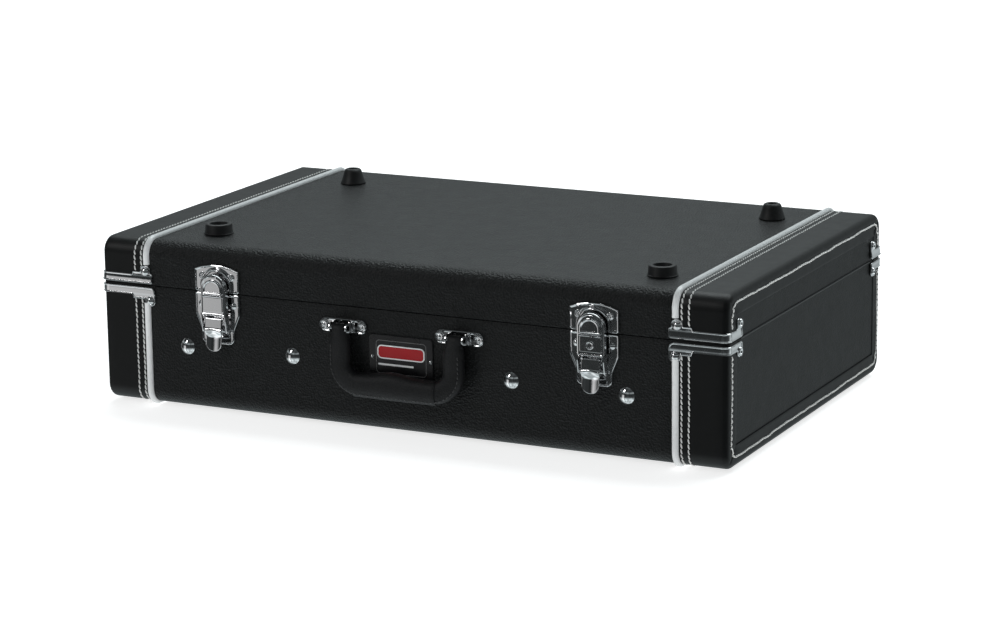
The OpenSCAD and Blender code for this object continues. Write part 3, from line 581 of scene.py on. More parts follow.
def studio_world():
    """A dim studio in front, a pale wall behind and bright ground; the camera sees plain white."""
    world = bpy.data.worlds.new("studio")
    world.use_nodes = True
    tree = world.node_tree
    heading = tree.nodes.new("ShaderNodeTexCoord").outputs["Generated"]
    way = add_node(tree, "ShaderNodeSeparateXYZ", {0: heading}).outputs
    height = spread(tree, way["Z"], 0.0, 1.0, -1.0, 1.0)
    ahead = grey_ramp(tree, height, [(0.0, 0.75), (0.18, 0.6), (0.32, 0.04), (0.58, 0.025), (0.63, 0.26),
                                     (0.69, 0.24), (0.76, 0.03), (0.93, 0.05), (1.0, 0.2)])
    behind = grey_ramp(tree, height, [(0.0, 0.8), (0.3, 0.5), (0.5, 0.38), (0.7, 0.32), (1.0, 0.15)])
    room = blend_colour(tree, spread(tree, way["Y"], 0.0, 1.0, -0.1, 0.45), ahead, behind)
    screen = spread(tree, way["X"], 0.42, 0.0, -0.48, -0.45)
    for axis, low, high, start, stop in (("X", 0.0, 1.0, -0.85, -0.7), ("Z", 1.0, 0.0, -0.05, 0.0),
                                         ("Y", 1.0, 0.0, -0.3, -0.2)):
        screen = math_node(tree, "MULTIPLY", screen, spread(tree, way[axis], low, high, start, stop))
    lit = add_node(tree, "ShaderNodeVectorMath", {0: room, 1: screen}, operation="ADD").outputs[0]
    sideways = add_node(tree, "ShaderNodeMapping", {"Vector": heading, "Scale": (2.6, 2.6, 0.5)}).outputs[0]
    uneven = spread(tree, noise(tree, sideways, 1.6, 1.0), 0.6, 1.5, 0.35, 0.65)
    shell = tree.nodes["Background"]
    set_inputs(tree, shell, {"Color": lit, "Strength": uneven})
    plain = add_node(tree, "ShaderNodeBackground", {"Color": (1, 1, 1, 1), "Strength": 1.0})
    seen = tree.nodes.new("ShaderNodeLightPath").outputs[0]
    pick = add_node(tree, "ShaderNodeMixShader", {"Fac": seen, 1: shell.outputs[0], 2: plain.outputs[0]})
    tree.links.new(pick.outputs[0], tree.nodes["World Output"].inputs["Surface"])
    bpy.context.scene.world = world


def grey_ramp(tree, fac, greys):
    """A ramp through (position, grey level) stops, very slightly blue."""
    node = add_node(tree, "ShaderNodeValToRGB", {"Fac": fac})
    items = node.color_ramp.elements
    while len(items) < len(greys):
        items.new(0.5)
    for item, (at, grey) in zip(items, greys):
        item.position = at
        item.color = (grey * 0.9, grey, grey * 1.02, 1)
    return node.outputs["Color"]


def add_lights():
    add_area("overhead", (0, 1.2, 2.4), (0, 0, 0), (3.4, 1.4), 48, (0.92, 1, 1.01))
    add_area("key", (-1.3, -1.9, 1.6), (0, -0.1, 0.05), (0.5, 0.9), 9)
    studio_world()


# ---------- covering ----------

def perimeter(inset, end_z, board=False, arc_n=10, line_n=24):
    """(y, z) points round one half of the case from the front edge to the back edge, shrunk by inset.
    The cover half runs under the case; the board half is the same path turned over."""
    half = CASE_D / 2 - inset
    r = max(EDGE_R - inset, 0.25)
    reach = (CASE_H - end_z) if board else end_z
    low = inset
    pts = [(-half, reach - (reach - low - r) * i / line_n) for i in range(line_n)]
    pts += arc(-half + r, low + r, r, 180, 270, arc_n)
    pts += [(-half + r + (2 * half - 2 * r) * i / (2 * line_n), low) for i in range(1, 2 * line_n)]
    pts += arc(half - r, low + r, r, 270, 360, arc_n)
    pts += [(half, low + r + (reach - low - r) * i / line_n) for i in range(1, line_n + 1)]
    return [(y, CASE_H - z) for y, z in pts] if board else pts


def wrap_rows(profile, side, end_z, board):
    """Rows of points round the case for each (x, inset) of a profile."""
    return [[(side * x, y, z) for y, z in perimeter(inset, end_z, board)] for x, inset in profile]


def make_wrap_skin(board):
    """Grained vinyl round the middle of one half, tucked under the piping at both ends."""
    end_z = BOARD_LOW if board else COVER_TOP
    reach = BEAD_X - BEAD_W / 2
    n = 40
    profile = [(-reach + 2 * reach * i / n, 0.0) for i in range(n + 1)]
    shape = Shape()
    shape.rows(wrap_rows(profile, 1, end_z, board))
    name = half_name(board)
    build(shape, f"{name}_grained_wrap", name, "grained_vinyl", f"{name}_skin",
          solid=SKIN_T * 0.9, bevel=0.35)
    make_rim(board)


def make_rim(board):
    """Vinyl turned in over the plywood at the parting line, all the way round."""
    z0 = BOARD_LOW if board else COVER_TOP - SKIN_T
    outer_w, outer_d = CASE_W / 2 - 0.4, CASE_D / 2 - 0.4
    inner_w, inner_d = CASE_W / 2 - 9.0, CASE_D / 2 - 7.0
    out_pts = outline(rect(-outer_w, -outer_d, outer_w, outer_d, 4))
    in_pts = outline(rect(-inner_w, -inner_d, inner_w, inner_d, 0.3))
    rows = [[(x, y, z0 + up) for x, y in pts]
            for pts, up in ((out_pts, 0), (out_pts, SKIN_T), (in_pts, SKIN_T), (in_pts, 0), (out_pts, 0))]
    shape = Shape()
    shape.rows(rows, closed=True)
    name = half_name(board)
    build(shape, f"{name}_turned_rim", name, "smooth_vinyl", bevel=0.25)


def band_profile():
    """(x, inset) from the piping round the end's rounded edge and in to the flange's lip."""
    start = BEAD_X + BEAD_W / 2
    flat = CASE_W / 2 - END_R
    pts = [(BEAD_X - BEAD_W / 2 + 0.1, 0.35), (start - 0.2, 0.35), (start, 0.0)]
    pts += [(start + (flat - start) * i / 6, 0.0) for i in range(1, 6)]
    pts += [(flat + END_R * math.sin(t), END_R - END_R * math.cos(t))
            for t in (math.pi / 2 * i / 8 for i in range(9))]
    pts += [(CASE_W / 2, END_R + (FLANGE_W - 0.4 - END_R) * i / 8) for i in range(1, 9)]
    pts += [(CASE_W / 2 - 0.15, FLANGE_W - 0.12), (CASE_W / 2 - 0.5, FLANGE_W)]
    return pts


def make_band(board, side):
    """Smooth vinyl band, folded onto the end face with mitred creases at the corners."""
    end_z = BOARD_LOW if board else COVER_TOP
    rows = wrap_rows(band_profile(), side, end_z, board)
    shape = Shape()
    shape.rows([crease_row(row, inset, side, board) for row, (_, inset) in zip(rows, band_profile())])
    name = half_name(board)
    where = side_name(side)
    build(shape, f"{name}_smooth_band_{where}", name, "smooth_vinyl", f"{name}_band_{where}",
          solid=SKIN_T * 0.9, bevel=0.3)


def crease_row(row, inset, side, board):
    """Sinks the covering along the diagonal of each corner, where the band is folded over itself."""
    start, stop, depth = 2.0, 15.5, 0.9
    if not start < inset < stop:
        return row
    share = math.sin(math.pi * (inset - start) / (stop - start)) ** 0.5
    out = []
    for x, y, z in row:
        low = CASE_H - z if board else z
        off = abs((CASE_D / 2 - abs(y)) - low)
        sunk = depth * share * math.exp(-(off / 0.9) ** 2) if low < 2 * FLANGE_W else 0
        out.append((x - side * sunk, y, z))
    return out


def make_end_skin(board, side):
    """Grained vinyl panel inside the band's flange."""
    end_z = BOARD_LOW if board else COVER_TOP
    thick = 0.6
    x1 = side * (CASE_W / 2 - SKIN_T + thick)
    half = CASE_D / 2 - FLANGE_W + 0.3
    n, m = 30, 8
    edge = CASE_H - FLANGE_W + 0.3 if board else FLANGE_W - 0.3
    profile = [(x1, end_z + (edge - end_z) * j / m) for j in range(m)]
    if board:
        profile.append((x1, edge))
    else:
        profile += [(x1, edge + 1.6), (x1 - side * 0.45, edge + 1.1), (x1 - side * 0.5, edge)]
    rows = [[(x, -half + 2 * half * i / n, z) for i in range(n + 1)] for x, z in profile]
    shape = Shape()
    shape.rows(rows)
    name = half_name(board)
    where = side_name(side)
    build(shape, f"{name}_grained_end_{where}", name, "grained_vinyl", f"{name}_end_skin_{where}", END_GRAIN,
          solid=thick * 0.9)
    if not board:
        make_end_welt(side)


def make_end_welt(side):
    """Vinyl rolled over the cover's upper edge on the end face, which catches the light; its vinyl is also
    painted much lighter than the band's, a painted highlight line along that edge.
    """
    half = CASE_D / 2 - FLANGE_W - 8.0
    x, z = CASE_W / 2 - 0.5, COVER_TOP - 0.35
    ring = [(side * (x + 0.55 * math.cos(t)), z + 0.6 * math.sin(t))
            for t in (2 * math.pi * i / 10 for i in range(10))]
    shape = Shape()
    shape.rows([[(px, -half + 2 * half * k / 24, pz) for px, pz in ring] for k in range(25)],
               closed=True, caps=True)
    where = side_name(side)
    build(shape, f"cover_end_welt_{where}", "cover", "smooth_vinyl", look=WELT_PAINTED_HIGHLIGHT)


def make_piping(board, side):
    """Round plastic piping in the groove between the two coverings."""
    end_z = UPPER_BEAD_END if board else LOWER_BEAD_END
    half = BEAD_W / 2
    profile = [(BEAD_X - half, 0.8), (BEAD_X - half, 0.0)]
    n = 14
    for i in range(1, n):
        t = math.pi * i / n
        profile.append((BEAD_X - half * math.cos(t), -BEAD_H * math.sin(t) ** 0.8))
    profile += [(BEAD_X + half, 0.0), (BEAD_X + half, 0.8)]
    shape = Shape()
    rows = wrap_rows(profile, side, end_z, board)
    rows.append(rows[0])
    shape.rows(rows)
    columns = len(rows[0])
    for end in (0, columns - 1):
        loop = [row[end] for row in rows[:-1]]
        shape.add(loop, [list(range(len(loop)))])
    name = half_name(board)
    where = side_name(side)
    build(shape, f"{name}_white_piping_{where}", name, "white_piping", f"{name}_piping_{where}")


# ---------- stitching ----------

def add_stitch(shape, a, b, normal, radius):
    """One stitch: a plump thread from a to b that dips into the vinyl at both ends."""
    a, b, normal = Vector(a), Vector(b), Vector(normal).normalized()
    along = (b - a).normalized()
    across = along.cross(normal).normalized()
    sides, rings = 7, 6
    rows = []
    for k in range(rings + 1):
        t = k / rings
        thick = radius * (0.55 + 0.45 * math.sin(math.pi * t) ** 0.5)
        lift = radius * (0.7 * math.sin(math.pi * t) ** 0.6 - 0.25)
        centre = a + (b - a) * t + normal * lift
        rows.append([
            centre + across * (thick * math.cos(q)) + normal * (0.8 * thick * math.sin(q))
            for q in (2 * math.pi * i / sides for i in range(sides))
        ])
    shape.rows(rows, closed=True, caps=True)


def stitch_path(shape, points, normals, pitch, gap, radius, rng, wander=0.12, slant=0.2):
    """Slightly slanted stitches along a polyline; normals holds one outward direction per point."""
    lengths = [0.0]
    for p, q in zip(points, points[1:]):
        lengths.append(lengths[-1] + (Vector(q) - Vector(p)).length)

    def sample(s):
        s = min(max(s, 0.0), lengths[-1])
        i = next((k for k in range(len(lengths) - 1) if s <= lengths[k + 1]), len(lengths) - 2)
        t = (s - lengths[i]) / max(lengths[i + 1] - lengths[i], 1e-9)
        return (Vector(points[i]).lerp(Vector(points[i + 1]), t),
                Vector(normals[i]).lerp(Vector(normals[i + 1]), t).normalized())

    count = max(1, int(lengths[-1] / pitch))
    step = lengths[-1] / count
    drift = 0.0
    for k in range(count):
        a, n0 = sample(k * step + gap / 2)
        b, n1 = sample((k + 1) * step - gap / 2)
        normal = (n0 + n1).normalized()
        side = (b - a).normalized().cross(normal)
        a += side * (slant + drift)
        drift = 0.7 * drift + rng.uniform(-wander, wander)
        b += side * (drift - slant)
        add_stitch(shape, a, b, normal, radius)


STITCH_ROWS = (216.0, 221.5)
STITCH_PITCH = 3.9
STITCH_GAP = 0.35
THREAD_R = 0.6
END_THREAD_R = 0.75
END_ROW = 7.2


def wrap_normals(pts):
    """Outward direction at each (y, z) point of a perimeter path."""
    normals = []
    for i in range(len(pts)):
        (y0, z0), (y1, z1) = pts[max(i - 1, 0)], pts[min(i + 1, len(pts) - 1)]
        normals.append(Vector((0, z1 - z0, -(y1 - y0))).normalized())
    return normals


def make_stitching(board, side, rng):
    """Two rows beside the piping and one row round the flange on the end face."""
    shape = Shape()
    for x in STITCH_ROWS:
        pts = perimeter(0.0, clasp_edge(board, x), board)
        normals = wrap_normals(pts)
        if board:
            normals = [-n for n in normals]
        stitch_path(shape, [(side * x, y, z) for y, z in pts], normals,
                    STITCH_PITCH, STITCH_GAP, THREAD_R, rng, 0.15, 0.42)
    end_x = side * CASE_W / 2
    for pts in end_face_rows(board):
        stitch_path(shape, [(end_x, y, z) for y, z in pts], [(side, 0, 0)] * len(pts),
                    STITCH_PITCH, STITCH_GAP, END_THREAD_R, rng, 0.4)
    name = half_name(board)
    where = side_name(side)
    build(shape, f"{name}_stitching_{where}", name, "white_piping", look=THREAD, merge=0.0005)


def clasp_edge(board, x):
    """Height where the corner clasp covers the stitch row at x."""
    if board:
        return 100.6 if x < 224 else 98.2
    return 80.1 if x < 224 else 82.3


def end_face_rows(board):
    """The stitch row on the end face: down one side, a jog at each mitre, along, and up the other."""
    edge = CASE_H - 6.8 if board else 7.9
    into = -1 if board else 1
    jog, step = 6.5, 2.2
    side_y = CASE_D / 2 - END_ROW
    z_end = 99.5 if board else 81.0
    front_side = [(-side_y, z_end), (-side_y - 0.5, edge + into * (jog + 2.0)),
                  (-side_y + step, edge + into * jog)]
    corner_a = [(-side_y + step, edge + into * jog), (-side_y + 0.6, edge + into * (jog - 3.0)),
                (-side_y + jog, edge)]
    along = [(-side_y + jog, edge), (side_y - jog, edge)]
    corner_b = [(side_y - jog, edge), (side_y - 0.6, edge + into * (jog - 3.0)),
                (side_y - step, edge + into * jog)]
    back_side = [(side_y - step, edge + into * jog), (side_y + 0.5, edge + into * (jog + 2.0)),
                 (side_y, z_end)]
    return [front_side, corner_a, along, corner_b, back_side]


# ---------- end panels of plywood ----------

def make_end_panel(board, side):
    """Plywood end panel with rounded outer edges, just inside the covering."""
    end_z = BOARD_LOW + SKIN_T if board else COVER_TOP - SKIN_T
    x_in = CASE_W / 2 - SKIN_T - END_T
    x_out = CASE_W / 2 - SKIN_T - 0.3
    r = END_R
    profile = [(x_in, 1.2), (x_out - r, 1.2)]
    profile += [(x_out - r + r * math.sin(t), 1.2 + r - r * math.cos(t))
                for t in (math.pi / 2 * i / 5 for i in range(1, 6))]
    shape = Shape()
    shape.rows(wrap_rows(profile, side, end_z, board), closed=True, caps=True)
    name = half_name(board)
    where = side_name(side)
    build(shape, f"{name}_ply_end_{where}", name, "plywood", f"{name}_end_panel_{where}", bevel=0.3)


# ---------- corner clasps ----------

def corner_warp(mx, my):
    """Bends a flat strip round one corner: x runs along it from the front arm's end."""
    flat = CLASP_ARM - END_R
    turn = math.pi / 2 * END_R

    def warp(s, z, h):
        if s <= flat:
            x, y = CASE_W / 2 - CLASP_ARM + s, -CASE_D / 2 - h
        elif s < flat + turn:
            a = (s - flat) / END_R
            x = CASE_W / 2 - END_R + (END_R + h) * math.sin(a)
            y = -CASE_D / 2 + END_R - (END_R + h) * math.cos(a)
        else:
            x, y = CASE_W / 2 + h, -CASE_D / 2 + END_R + (s - flat - turn)
        return (mx * x, my * y, z)
    return warp


CLASP_ARM = 43.5  # along the front
CLASP_END = 23.0  # along the end face
CLASP_EYE = 19.5  # from the front to the rivet on the end face
CLASP_LENGTH = CLASP_ARM - END_R + math.pi / 2 * END_R + CLASP_END - END_R
CLASP_STEPS = [(0.1, 0), (0, 0.3), (0, 0.7), (0.12, 1.05), (0.4, 1.25), (0.75, 1.15), (1.0, 0.85), (1.3, 0.7)]


def clasp_corners(board, shift):
    """Outline of one clasp laid flat: strip, taller front part and an ear at each rivet."""
    at = BEAD_X - (CASE_W / 2 - CLASP_ARM) + shift
    end = CLASP_LENGTH
    if board:
        return [(0, 91.6, 1.6), (end, 91.6, 1.6), (end, 105.2, 3.4), (end - 7.2, 105.2, 3.4),
                (end - 7.6, 98, 1.5), (18, 98, 0.5), (17, 100.2, 0.5), (at + 5.8, 100.2, 0.2),
                (at + 5.8, 105, 3.8), (at - 3.2, 105, 3.8), (at - 3.4, 99.3, 0.3), (0, 98.5, 1.0)]
    return [(at - 7.2, 74.6, 3.9), (at + 1.9, 74.6, 3.9), (at + 1.9, 79.9, 0.2), (17, 79.9, 0.5),
            (18, 82.5, 0.5), (end - 7.6, 82.5, 0.3), (end - 7.2, 78.0, 3.0), (end, 78.0, 3.0),
            (end, 88.6, 1.6), (at - 7.2, 88.6, 4.0)]


def clasp_shift(board, mx):
    """The lower right clasps sit a little nearer the end than the lower left ones."""
    return 0.0 if board or mx < 0 else 2.3


def make_clasps(board):
    shape = Shape()
    z_mid, half = (94.8, 3.4) if board else (85.5, 3.2)
    for mx in (-1, 1):
        for my in (-1, 1):
            bend = corner_warp(mx, my)

            def warp(s, z, h, bend=bend):
                t = max(-1.0, min(1.0, (z - z_mid) / half))
                swell = 0.35 * math.cos(t * math.pi / 2) - (0.4 * t if board else 0)
                return bend(s, z, h + swell * smooth_step((h - 0.3) / 0.4))
            sheet(shape, clasp_corners(board, clasp_shift(board, mx)), CLASP_STEPS, warp, (1.2, 0.7), 5)
    name = half_name(board)
    build(shape, f"{name}_clasps", name, "chrome_plate", f"{name}_corner_clasps")


EYELET = [(2.9, 0), (2.9, 0.7), (2.6, 1.25), (2.1, 1.4), (1.6, 1.2), (1.3, 0.6), (1.1, 0.35), (0.5, 0.3)]


def make_clasp_rivets(board):
    """A dome on the front ear of each clasp and an eyelet on its end ear."""
    end_z = 101.5 if board else 81.6
    front_x, front_z = (BEAD_X + 1.3, 100.6) if board else (BEAD_X - 2.6, 78.9)
    shape = Shape()
    for mx in (-1, 1):
        x = mx * (front_x + clasp_shift(board, mx))
        for my in (-1, 1):
            shape.lathe(dome_profile(3.2, 1.9), lambda a, b, h, x=x, my=my:
                        (x + a, my * (CASE_D / 2 + 0.9 + h), front_z + b))
            shape.lathe(EYELET, lambda a, b, h, mx=mx, my=my:
                        (mx * (CASE_W / 2 + 0.9 + h), my * (CASE_D / 2 - CLASP_EYE) + a, end_z + 1.15 * b))
    name = half_name(board)
    build(shape, f"{name}_clasp_heads", name, "chrome_plate", f"{name}_clasp_rivets")


# ---------- latches ----------

RIM_STEPS = [(0.1, 0), (0, 0.35), (0, 0.95), (0.2, 1.35), (0.6, 1.55), (1.05, 1.45), (1.4, 1.1), (1.8, 0.85)]


KEEPER_ARCH_Z = 95.4
HASP_ARCH_Z = 94.6
LOCK_Z = 82.3
BASE_RIVET_X, BASE_RIVET_Z = 13.4, 81.4


def on_latch(side):
    """Places points on the front face from the middle of one latch."""
    return lambda x, z, out: front(side * LATCH_X + x, z, out)


def keeper_corners():
    """Keeper outline: square sides, rounded lower corners and a flat arc along the top."""
    half, low, top = LATCH_HALF, KEEPER_LO[2] - LIFT, KEEPER_HI[2] - LIFT
    rise = 3.9
    r = (half * half + rise * rise) / (2 * rise)
    arc_z = [(x, top - r + math.sqrt(r * r - x * x), 8.0) for x in (12.5, 4.5, -4.5, -12.5)]
    return [(-half, low, 3.0), (half, low, 2.0), (half, top - rise, 1.0)] + arc_z + [(-half, top - rise, 1.0)]


def arch_path(r, zc, zb, n=20):
    """Path up one leg, over the round top and down the other leg, from right to left."""
    return [(r, zb), (r, (zb + zc) / 2)] + arc(0, zc, r, 0, 180, n) + [(-r, (zb + zc) / 2), (-r, zb)]


def make_keepers():
    shape = Shape()
    low = KEEPER_LO[2] - LIFT + 0.2
    for side in (-1, 1):
        at = on_latch(side)
        sheet(shape, keeper_corners(), RIM_STEPS, at, (2.0, 2.0))
        band = [(-0.8, 0.6), (-0.8, 2.0), (-0.5, 2.8), (0, 3.0), (0.5, 2.8), (0.8, 2.0), (0.8, 0.6)]
        rail(shape, arch_path(11.6, KEEPER_ARCH_Z, low), band, at)
        step = [(-0.8, 0.6), (-0.6, 1.5), (0, 1.9), (0.6, 1.5), (0.9, 0.6)]
        rail(shape, arch_path(13.2, KEEPER_ARCH_Z, low), step, at)
    build(shape, "latch_keeper_plates", "board", "chrome_plate", "latch_keepers")


def make_keeper_screws():
    """Domed cross-head screws; the cross is left between four raised petals."""
    lo, hi = box_mm("keeper_screws")
    r = 2.7
    x_in = (hi[0] - r) - LATCH_X - 1.4
    z = (lo[2] + hi[2]) / 2 - LIFT - 0.6
    shape = Shape()
    ring = [(r, 0), (r, 0.4), (0.9 * r, 1.0), (0.72 * r, 1.35), (0.6 * r, 1.3), (0.5 * r, 1.0), (0.2, 0.95)]
    petal = [(0.62, 0.8), (0.6, 1.35), (0.35, 1.6), (0.1, 1.65)]
    for side in (-1, 1):
        for s in (-1, 1):
            stud(shape, ring, on_latch(side), s * x_in, z, 0.8, 36)
            for t in (math.radians(45 + 90 * k) for k in range(4)):
                x = s * x_in + 0.85 * math.cos(t)
                stud(shape, petal, on_latch(side), x, z + 0.85 * math.sin(t), 0.8, 12)
    build(shape, "latch_screw_heads", "board", "chrome_plate", "keeper_screws")


def make_base(side):
    """Base plate with a rolled rim, shoulders and the two ears of the lever's pin."""
    half, low = LATCH_HALF, 13.5
    corners = [(-low, 52, 4.5), (low, 52, 4.5), (low + 0.4, 63.0, 9.0), (half, 74.2, 5.0),
               (half, 89.7, 1.8), (-half, 89.7, 1.8), (-half, 74.2, 5.0), (-low - 0.4, 63.0, 9.0)]
    at = on_latch(side)
    shape = Shape()
    sheet(shape, corners, RIM_STEPS, at, (2.5, 2.5))
    for s in (-1, 1):
        x0, x1 = sorted((s * 7.3, s * 8.3))
        slab(shape, x0, x1, [(0.8, 66), (4.6, 66.8), (6.8, 69), (6.8, 71), (4.6, 73), (0.8, 74)], at)
    where = side_name(side)
    build(shape, f"latch_base_plate_{where}", "cover", "chrome_plate", f"latch_base_{where}")


def lever_out(z):
    """How far the lever's back stands out of the front face at height z."""
    points = [(47.0, 8.4), (59.6, 6.8), (60.2, 6.9), (63.0, 8.3), (63.7, 8.4), (64.6, 7.5), (73.0, 6.7)]
    for (z0, o0), (z1, o1) in zip(points, points[1:]):
        if z <= z1:
            return o0 + (o1 - o0) * max(0.0, (z - z0) / (z1 - z0))
    return points[-1][1]


def make_lever(side):
    """Bent lever: a sloped panel, a fold and a dished thumb tab, with side walls round both pins."""
    at = on_latch(side)
    where = side_name(side)
    shape = Shape()
    corners = [(-6.5, 47.6, 6.2), (6.5, 47.6, 6.2), (6.6, 58.6, 1.0), (7.0, 60.6, 1.0), (7.0, 72.4, 0.8),
               (-7.0, 72.4, 0.8), (-7.0, 60.6, 1.0), (-6.6, 58.6, 1.0)]
    steps = [(0.35, 0), (0.05, 0.2), (0, 0.5), (0.15, 0.8), (0.5, 0.95)]

    def warp(x, z, h):
        tab = smooth_step((60.5 - z) / 3.0)
        fold = math.exp(-(((z - 62.4) / 1.6) ** 2))
        return at(x, z + 0.5 * fold * math.cos(x * 0.5), lever_out(z) + h - 1.3 * tab * (1 - (x / 6.5) ** 2))
    sheet(shape, corners, steps, warp, (0.9, 0.7))
    wall = [(6.0, 72.2), (2.0, 72.2), (1.6, 70), (1.6, 63.0), (2.6, 60.8), (4.4, 60.6), (6.8, 60.4),
            (7.6, 63.6), (7.0, 67.0)]
    for s in (-1, 1):
        x0, x1 = sorted((s * 6.05, s * 7.0))
        slab(shape, x0, x1, wall, at, 0.15)
    build(shape, f"latch_lever_{where}_sheet", f"{where}_lever", "chrome_plate", f"latch_lever_{where}")


def make_hasp(side):
    """Arched box of pressed sheet, open at the back, with two arms down to the lever's lower pin."""
    at = on_latch(side)
    where = side_name(side)
    shape = Shape()
    r = HASP_HALF
    w = r - 2.4
    pressing(shape, rect(-r, 74, r, HASP_ARCH_Z + r, 0.8, r - 0.1),
             [(1.2, 7.0), (1.0, 3.3), (0.2, 3.3), (0, 3.6), (0, 6.7), (0.2, 7.4), (0.7, 7.9), (1.3, 8.0),
              (1.7, 7.8), (2.0, 7.6), (2.3, 7.6)], at, 12)
    pressing(shape, rect(-w, 90.6, w, HASP_ARCH_Z - 1.2 + w, 0.6, w - 0.1),
             [(0, 7.4), (0, 8.4), (0.3, 9.0), (0.8, 9.1), (1.2, 8.9), (1.5, 8.5), (1.7, 8.4), (2.1, 8.4)],
             at, 12)
    pressing(shape, rect(-w, 77.4, w, 88.2, 0.6), [(0, 7.4), (0, 7.9), (0.1, 8.1), (0.3, 8.15)], at, 4)
    bar = [(0.9, 7.6), (0.9, 8.5), (0.75, 9.0), (0.4, 9.4), (-0.1, 9.5), (-0.9, 8.6), (-0.9, 7.6)]
    rail(shape, [(-w, 89.3), (-w / 3, 89.3), (w / 3, 89.3), (w, 89.3)], bar, at)
    lip = [(0.5, 7.0), (0.5, 8.0), (0.35, 8.5), (0, 8.75), (-0.5, 8.2), (-0.5, 7.0)]
    rail(shape, [(0.6 - w, 75.6), (-w / 3, 75.6), (w / 3, 75.6), (w - 0.6, 75.6)], lip, at)
    arm = [(3.3, 76), (2.6, 70), (1.7, 64), (2.0, 61.4), (4.0, 60.6), (6.0, 61.6), (6.6, 64), (8.0, 71),
           (8.0, 76)]
    for s in (-1, 1):
        x0, x1 = sorted((s * (r - 1.0), s * r))
        slab(shape, x0, x1, arm, at)
    build(shape, f"latch_hasp_{where}_sheet", f"{where}_hasp", "chrome_plate", f"latch_hasp_{where}")


def make_lock():
    """Round lock barrel with a dished face and a key slot."""
    at = on_latch(1)
    shape = Shape()
    barrel = [(2.9, 6.0), (3.0, 8.6), (2.9, 9.2), (2.5, 9.5), (2.1, 9.4), (1.8, 8.9)]
    stud(shape, barrel, at, 0, LOCK_Z, 0, 36)
    for s in (-1, 1):
        x0, x1 = sorted((s * 0.45, s * 1.3))
        pressing(shape, rect(x0, LOCK_Z - 1.5, x1, LOCK_Z + 1.5, 0.4),
                 [(0, 8.6), (0, 9.2), (0.15, 9.3)], at, 3)
    slab(shape, -1.2, 1.2, [(5.7, LOCK_Z - 5), (6.7, LOCK_Z - 5), (6.7, LOCK_Z + 1), (5.7, LOCK_Z + 1)], at)
    build(shape, "lock_barrel", "lock", "chrome_plate", "lock_cylinder")


# ---------- handle ----------

GRIP_LO, GRIP_HI = 27.4, 44.0
HANDLE_HALF = 53.6


def section_ring(centre, side_dir, out_lo, out_hi, w_in, w_out, power=2.6, n=22):
    """A rounded cross-section; side_dir is the in-plane direction towards the loop's inside."""
    ring = []
    for i in range(n):
        t = 2 * math.pi * i / n
        c, s = math.cos(t), math.sin(t)
        u = math.copysign(abs(c) ** (2 / power), c)
        v = math.copysign(abs(s) ** (2 / power), s)
        reach = w_in if u > 0 else w_out
        out = (out_lo + out_hi) / 2 + v * (out_hi - out_lo) / 2
        ring.append(front(centre[0] + side_dir[0] * u * reach, centre[1] + side_dir[1] * u * reach, out))
    return ring


def handle_stations():
    """Stations of the left half of the loop, from the eye round the pin down to the grip's middle:
    centre, inward direction, outward range and half widths."""
    stations = []
    for z, half in ((79.0, 0.5), (78.8, 1.8), (78.1, 3.2), (77.1, 4.2), (75.5, 4.8)):
        stations.append(((-MOUNT_X, z), (1, 0), 7 - half, 7 + half, 5.6, 5.6))
    for z, w, lo, hi in ((72, 5.6, 2.4, 12.0), (70.2, 6.6, 2.6, 12.2), (68.4, 7.5, 2.8, 12.5),
                         (65, 7.9, 3, 12.8), (60, 8.0, 3, 13), (55, 8.0, 3, 13), (52, 8.0, 3, 13)):
        stations.append(((-HANDLE_HALF + 8.2, z), (1, 0), lo, hi, w, w))
    corner = 16.0
    cx, cz = -HANDLE_HALF + 8.0 + corner, (GRIP_LO + GRIP_HI) / 2 + corner
    for i in range(1, 10):
        a = math.radians(180 + 90 * i / 9)
        t = i / 9
        stations.append(((cx + corner * math.cos(a), cz + corner * math.sin(a)),
                         (-math.cos(a), -math.sin(a)), 3 - 0.4 * t, 13 + 2.6 * t,
                         8.0 + 0.2 * t, 8.0 + 0.3 * t))
    return stations


def grip_ring(x, grow=0.0):
    """The grip's cross-section at x; its upper edge rises to a hump in the middle."""
    hump = 3.6 * math.exp(-(((x + 3) / 15.0) ** 2))
    mid = (GRIP_LO + GRIP_HI) / 2
    fat = 1.2 * math.exp(-((x / 22.0) ** 2))
    return section_ring((x, mid), (0, 1), 2.7 - grow, 15.6 + fat + grow, GRIP_HI - mid + hump * 0.8 + grow,
                        mid - GRIP_LO + grow, 2.4)


def mirrored(ring):
    """The same ring on the other side of the middle, its points in matching order."""
    return [(-x, y, z) for x, y, z in ring]


def make_handle():
    left = [section_ring(*st) for st in handle_stations()]
    start = handle_stations()[-1][0][0]
    middle = [grip_ring(start + (-2 * start) * i / 12) for i in range(1, 12)]
    right = [mirrored(r) for r in reversed(left)]
    shape = Shape()
    shape.rows(left + middle + right, closed=True, caps=True)
    build(shape, "handle_loop", "handle", "handle_vinyl", "handle", subdiv=1)
    make_grip()
    make_handle_stitches()


def make_grip():
    """Padded sleeve sewn round the grip, a little thicker than the loop."""
    half = 33.2
    rings = [grip_ring(-half, -0.3), grip_ring(-half + 0.15, 0.25)]
    rings += [grip_ring(-half + 0.8 + (2 * half - 1.6) * i / 30, 0.5) for i in range(31)]
    rings += [grip_ring(half - 0.15, 0.25), grip_ring(half, -0.3)]
    shape = Shape()
    shape.rows(rings, closed=True, caps=True)
    build(shape, "handle_grip_sleeve", "handle", "handle_vinyl")


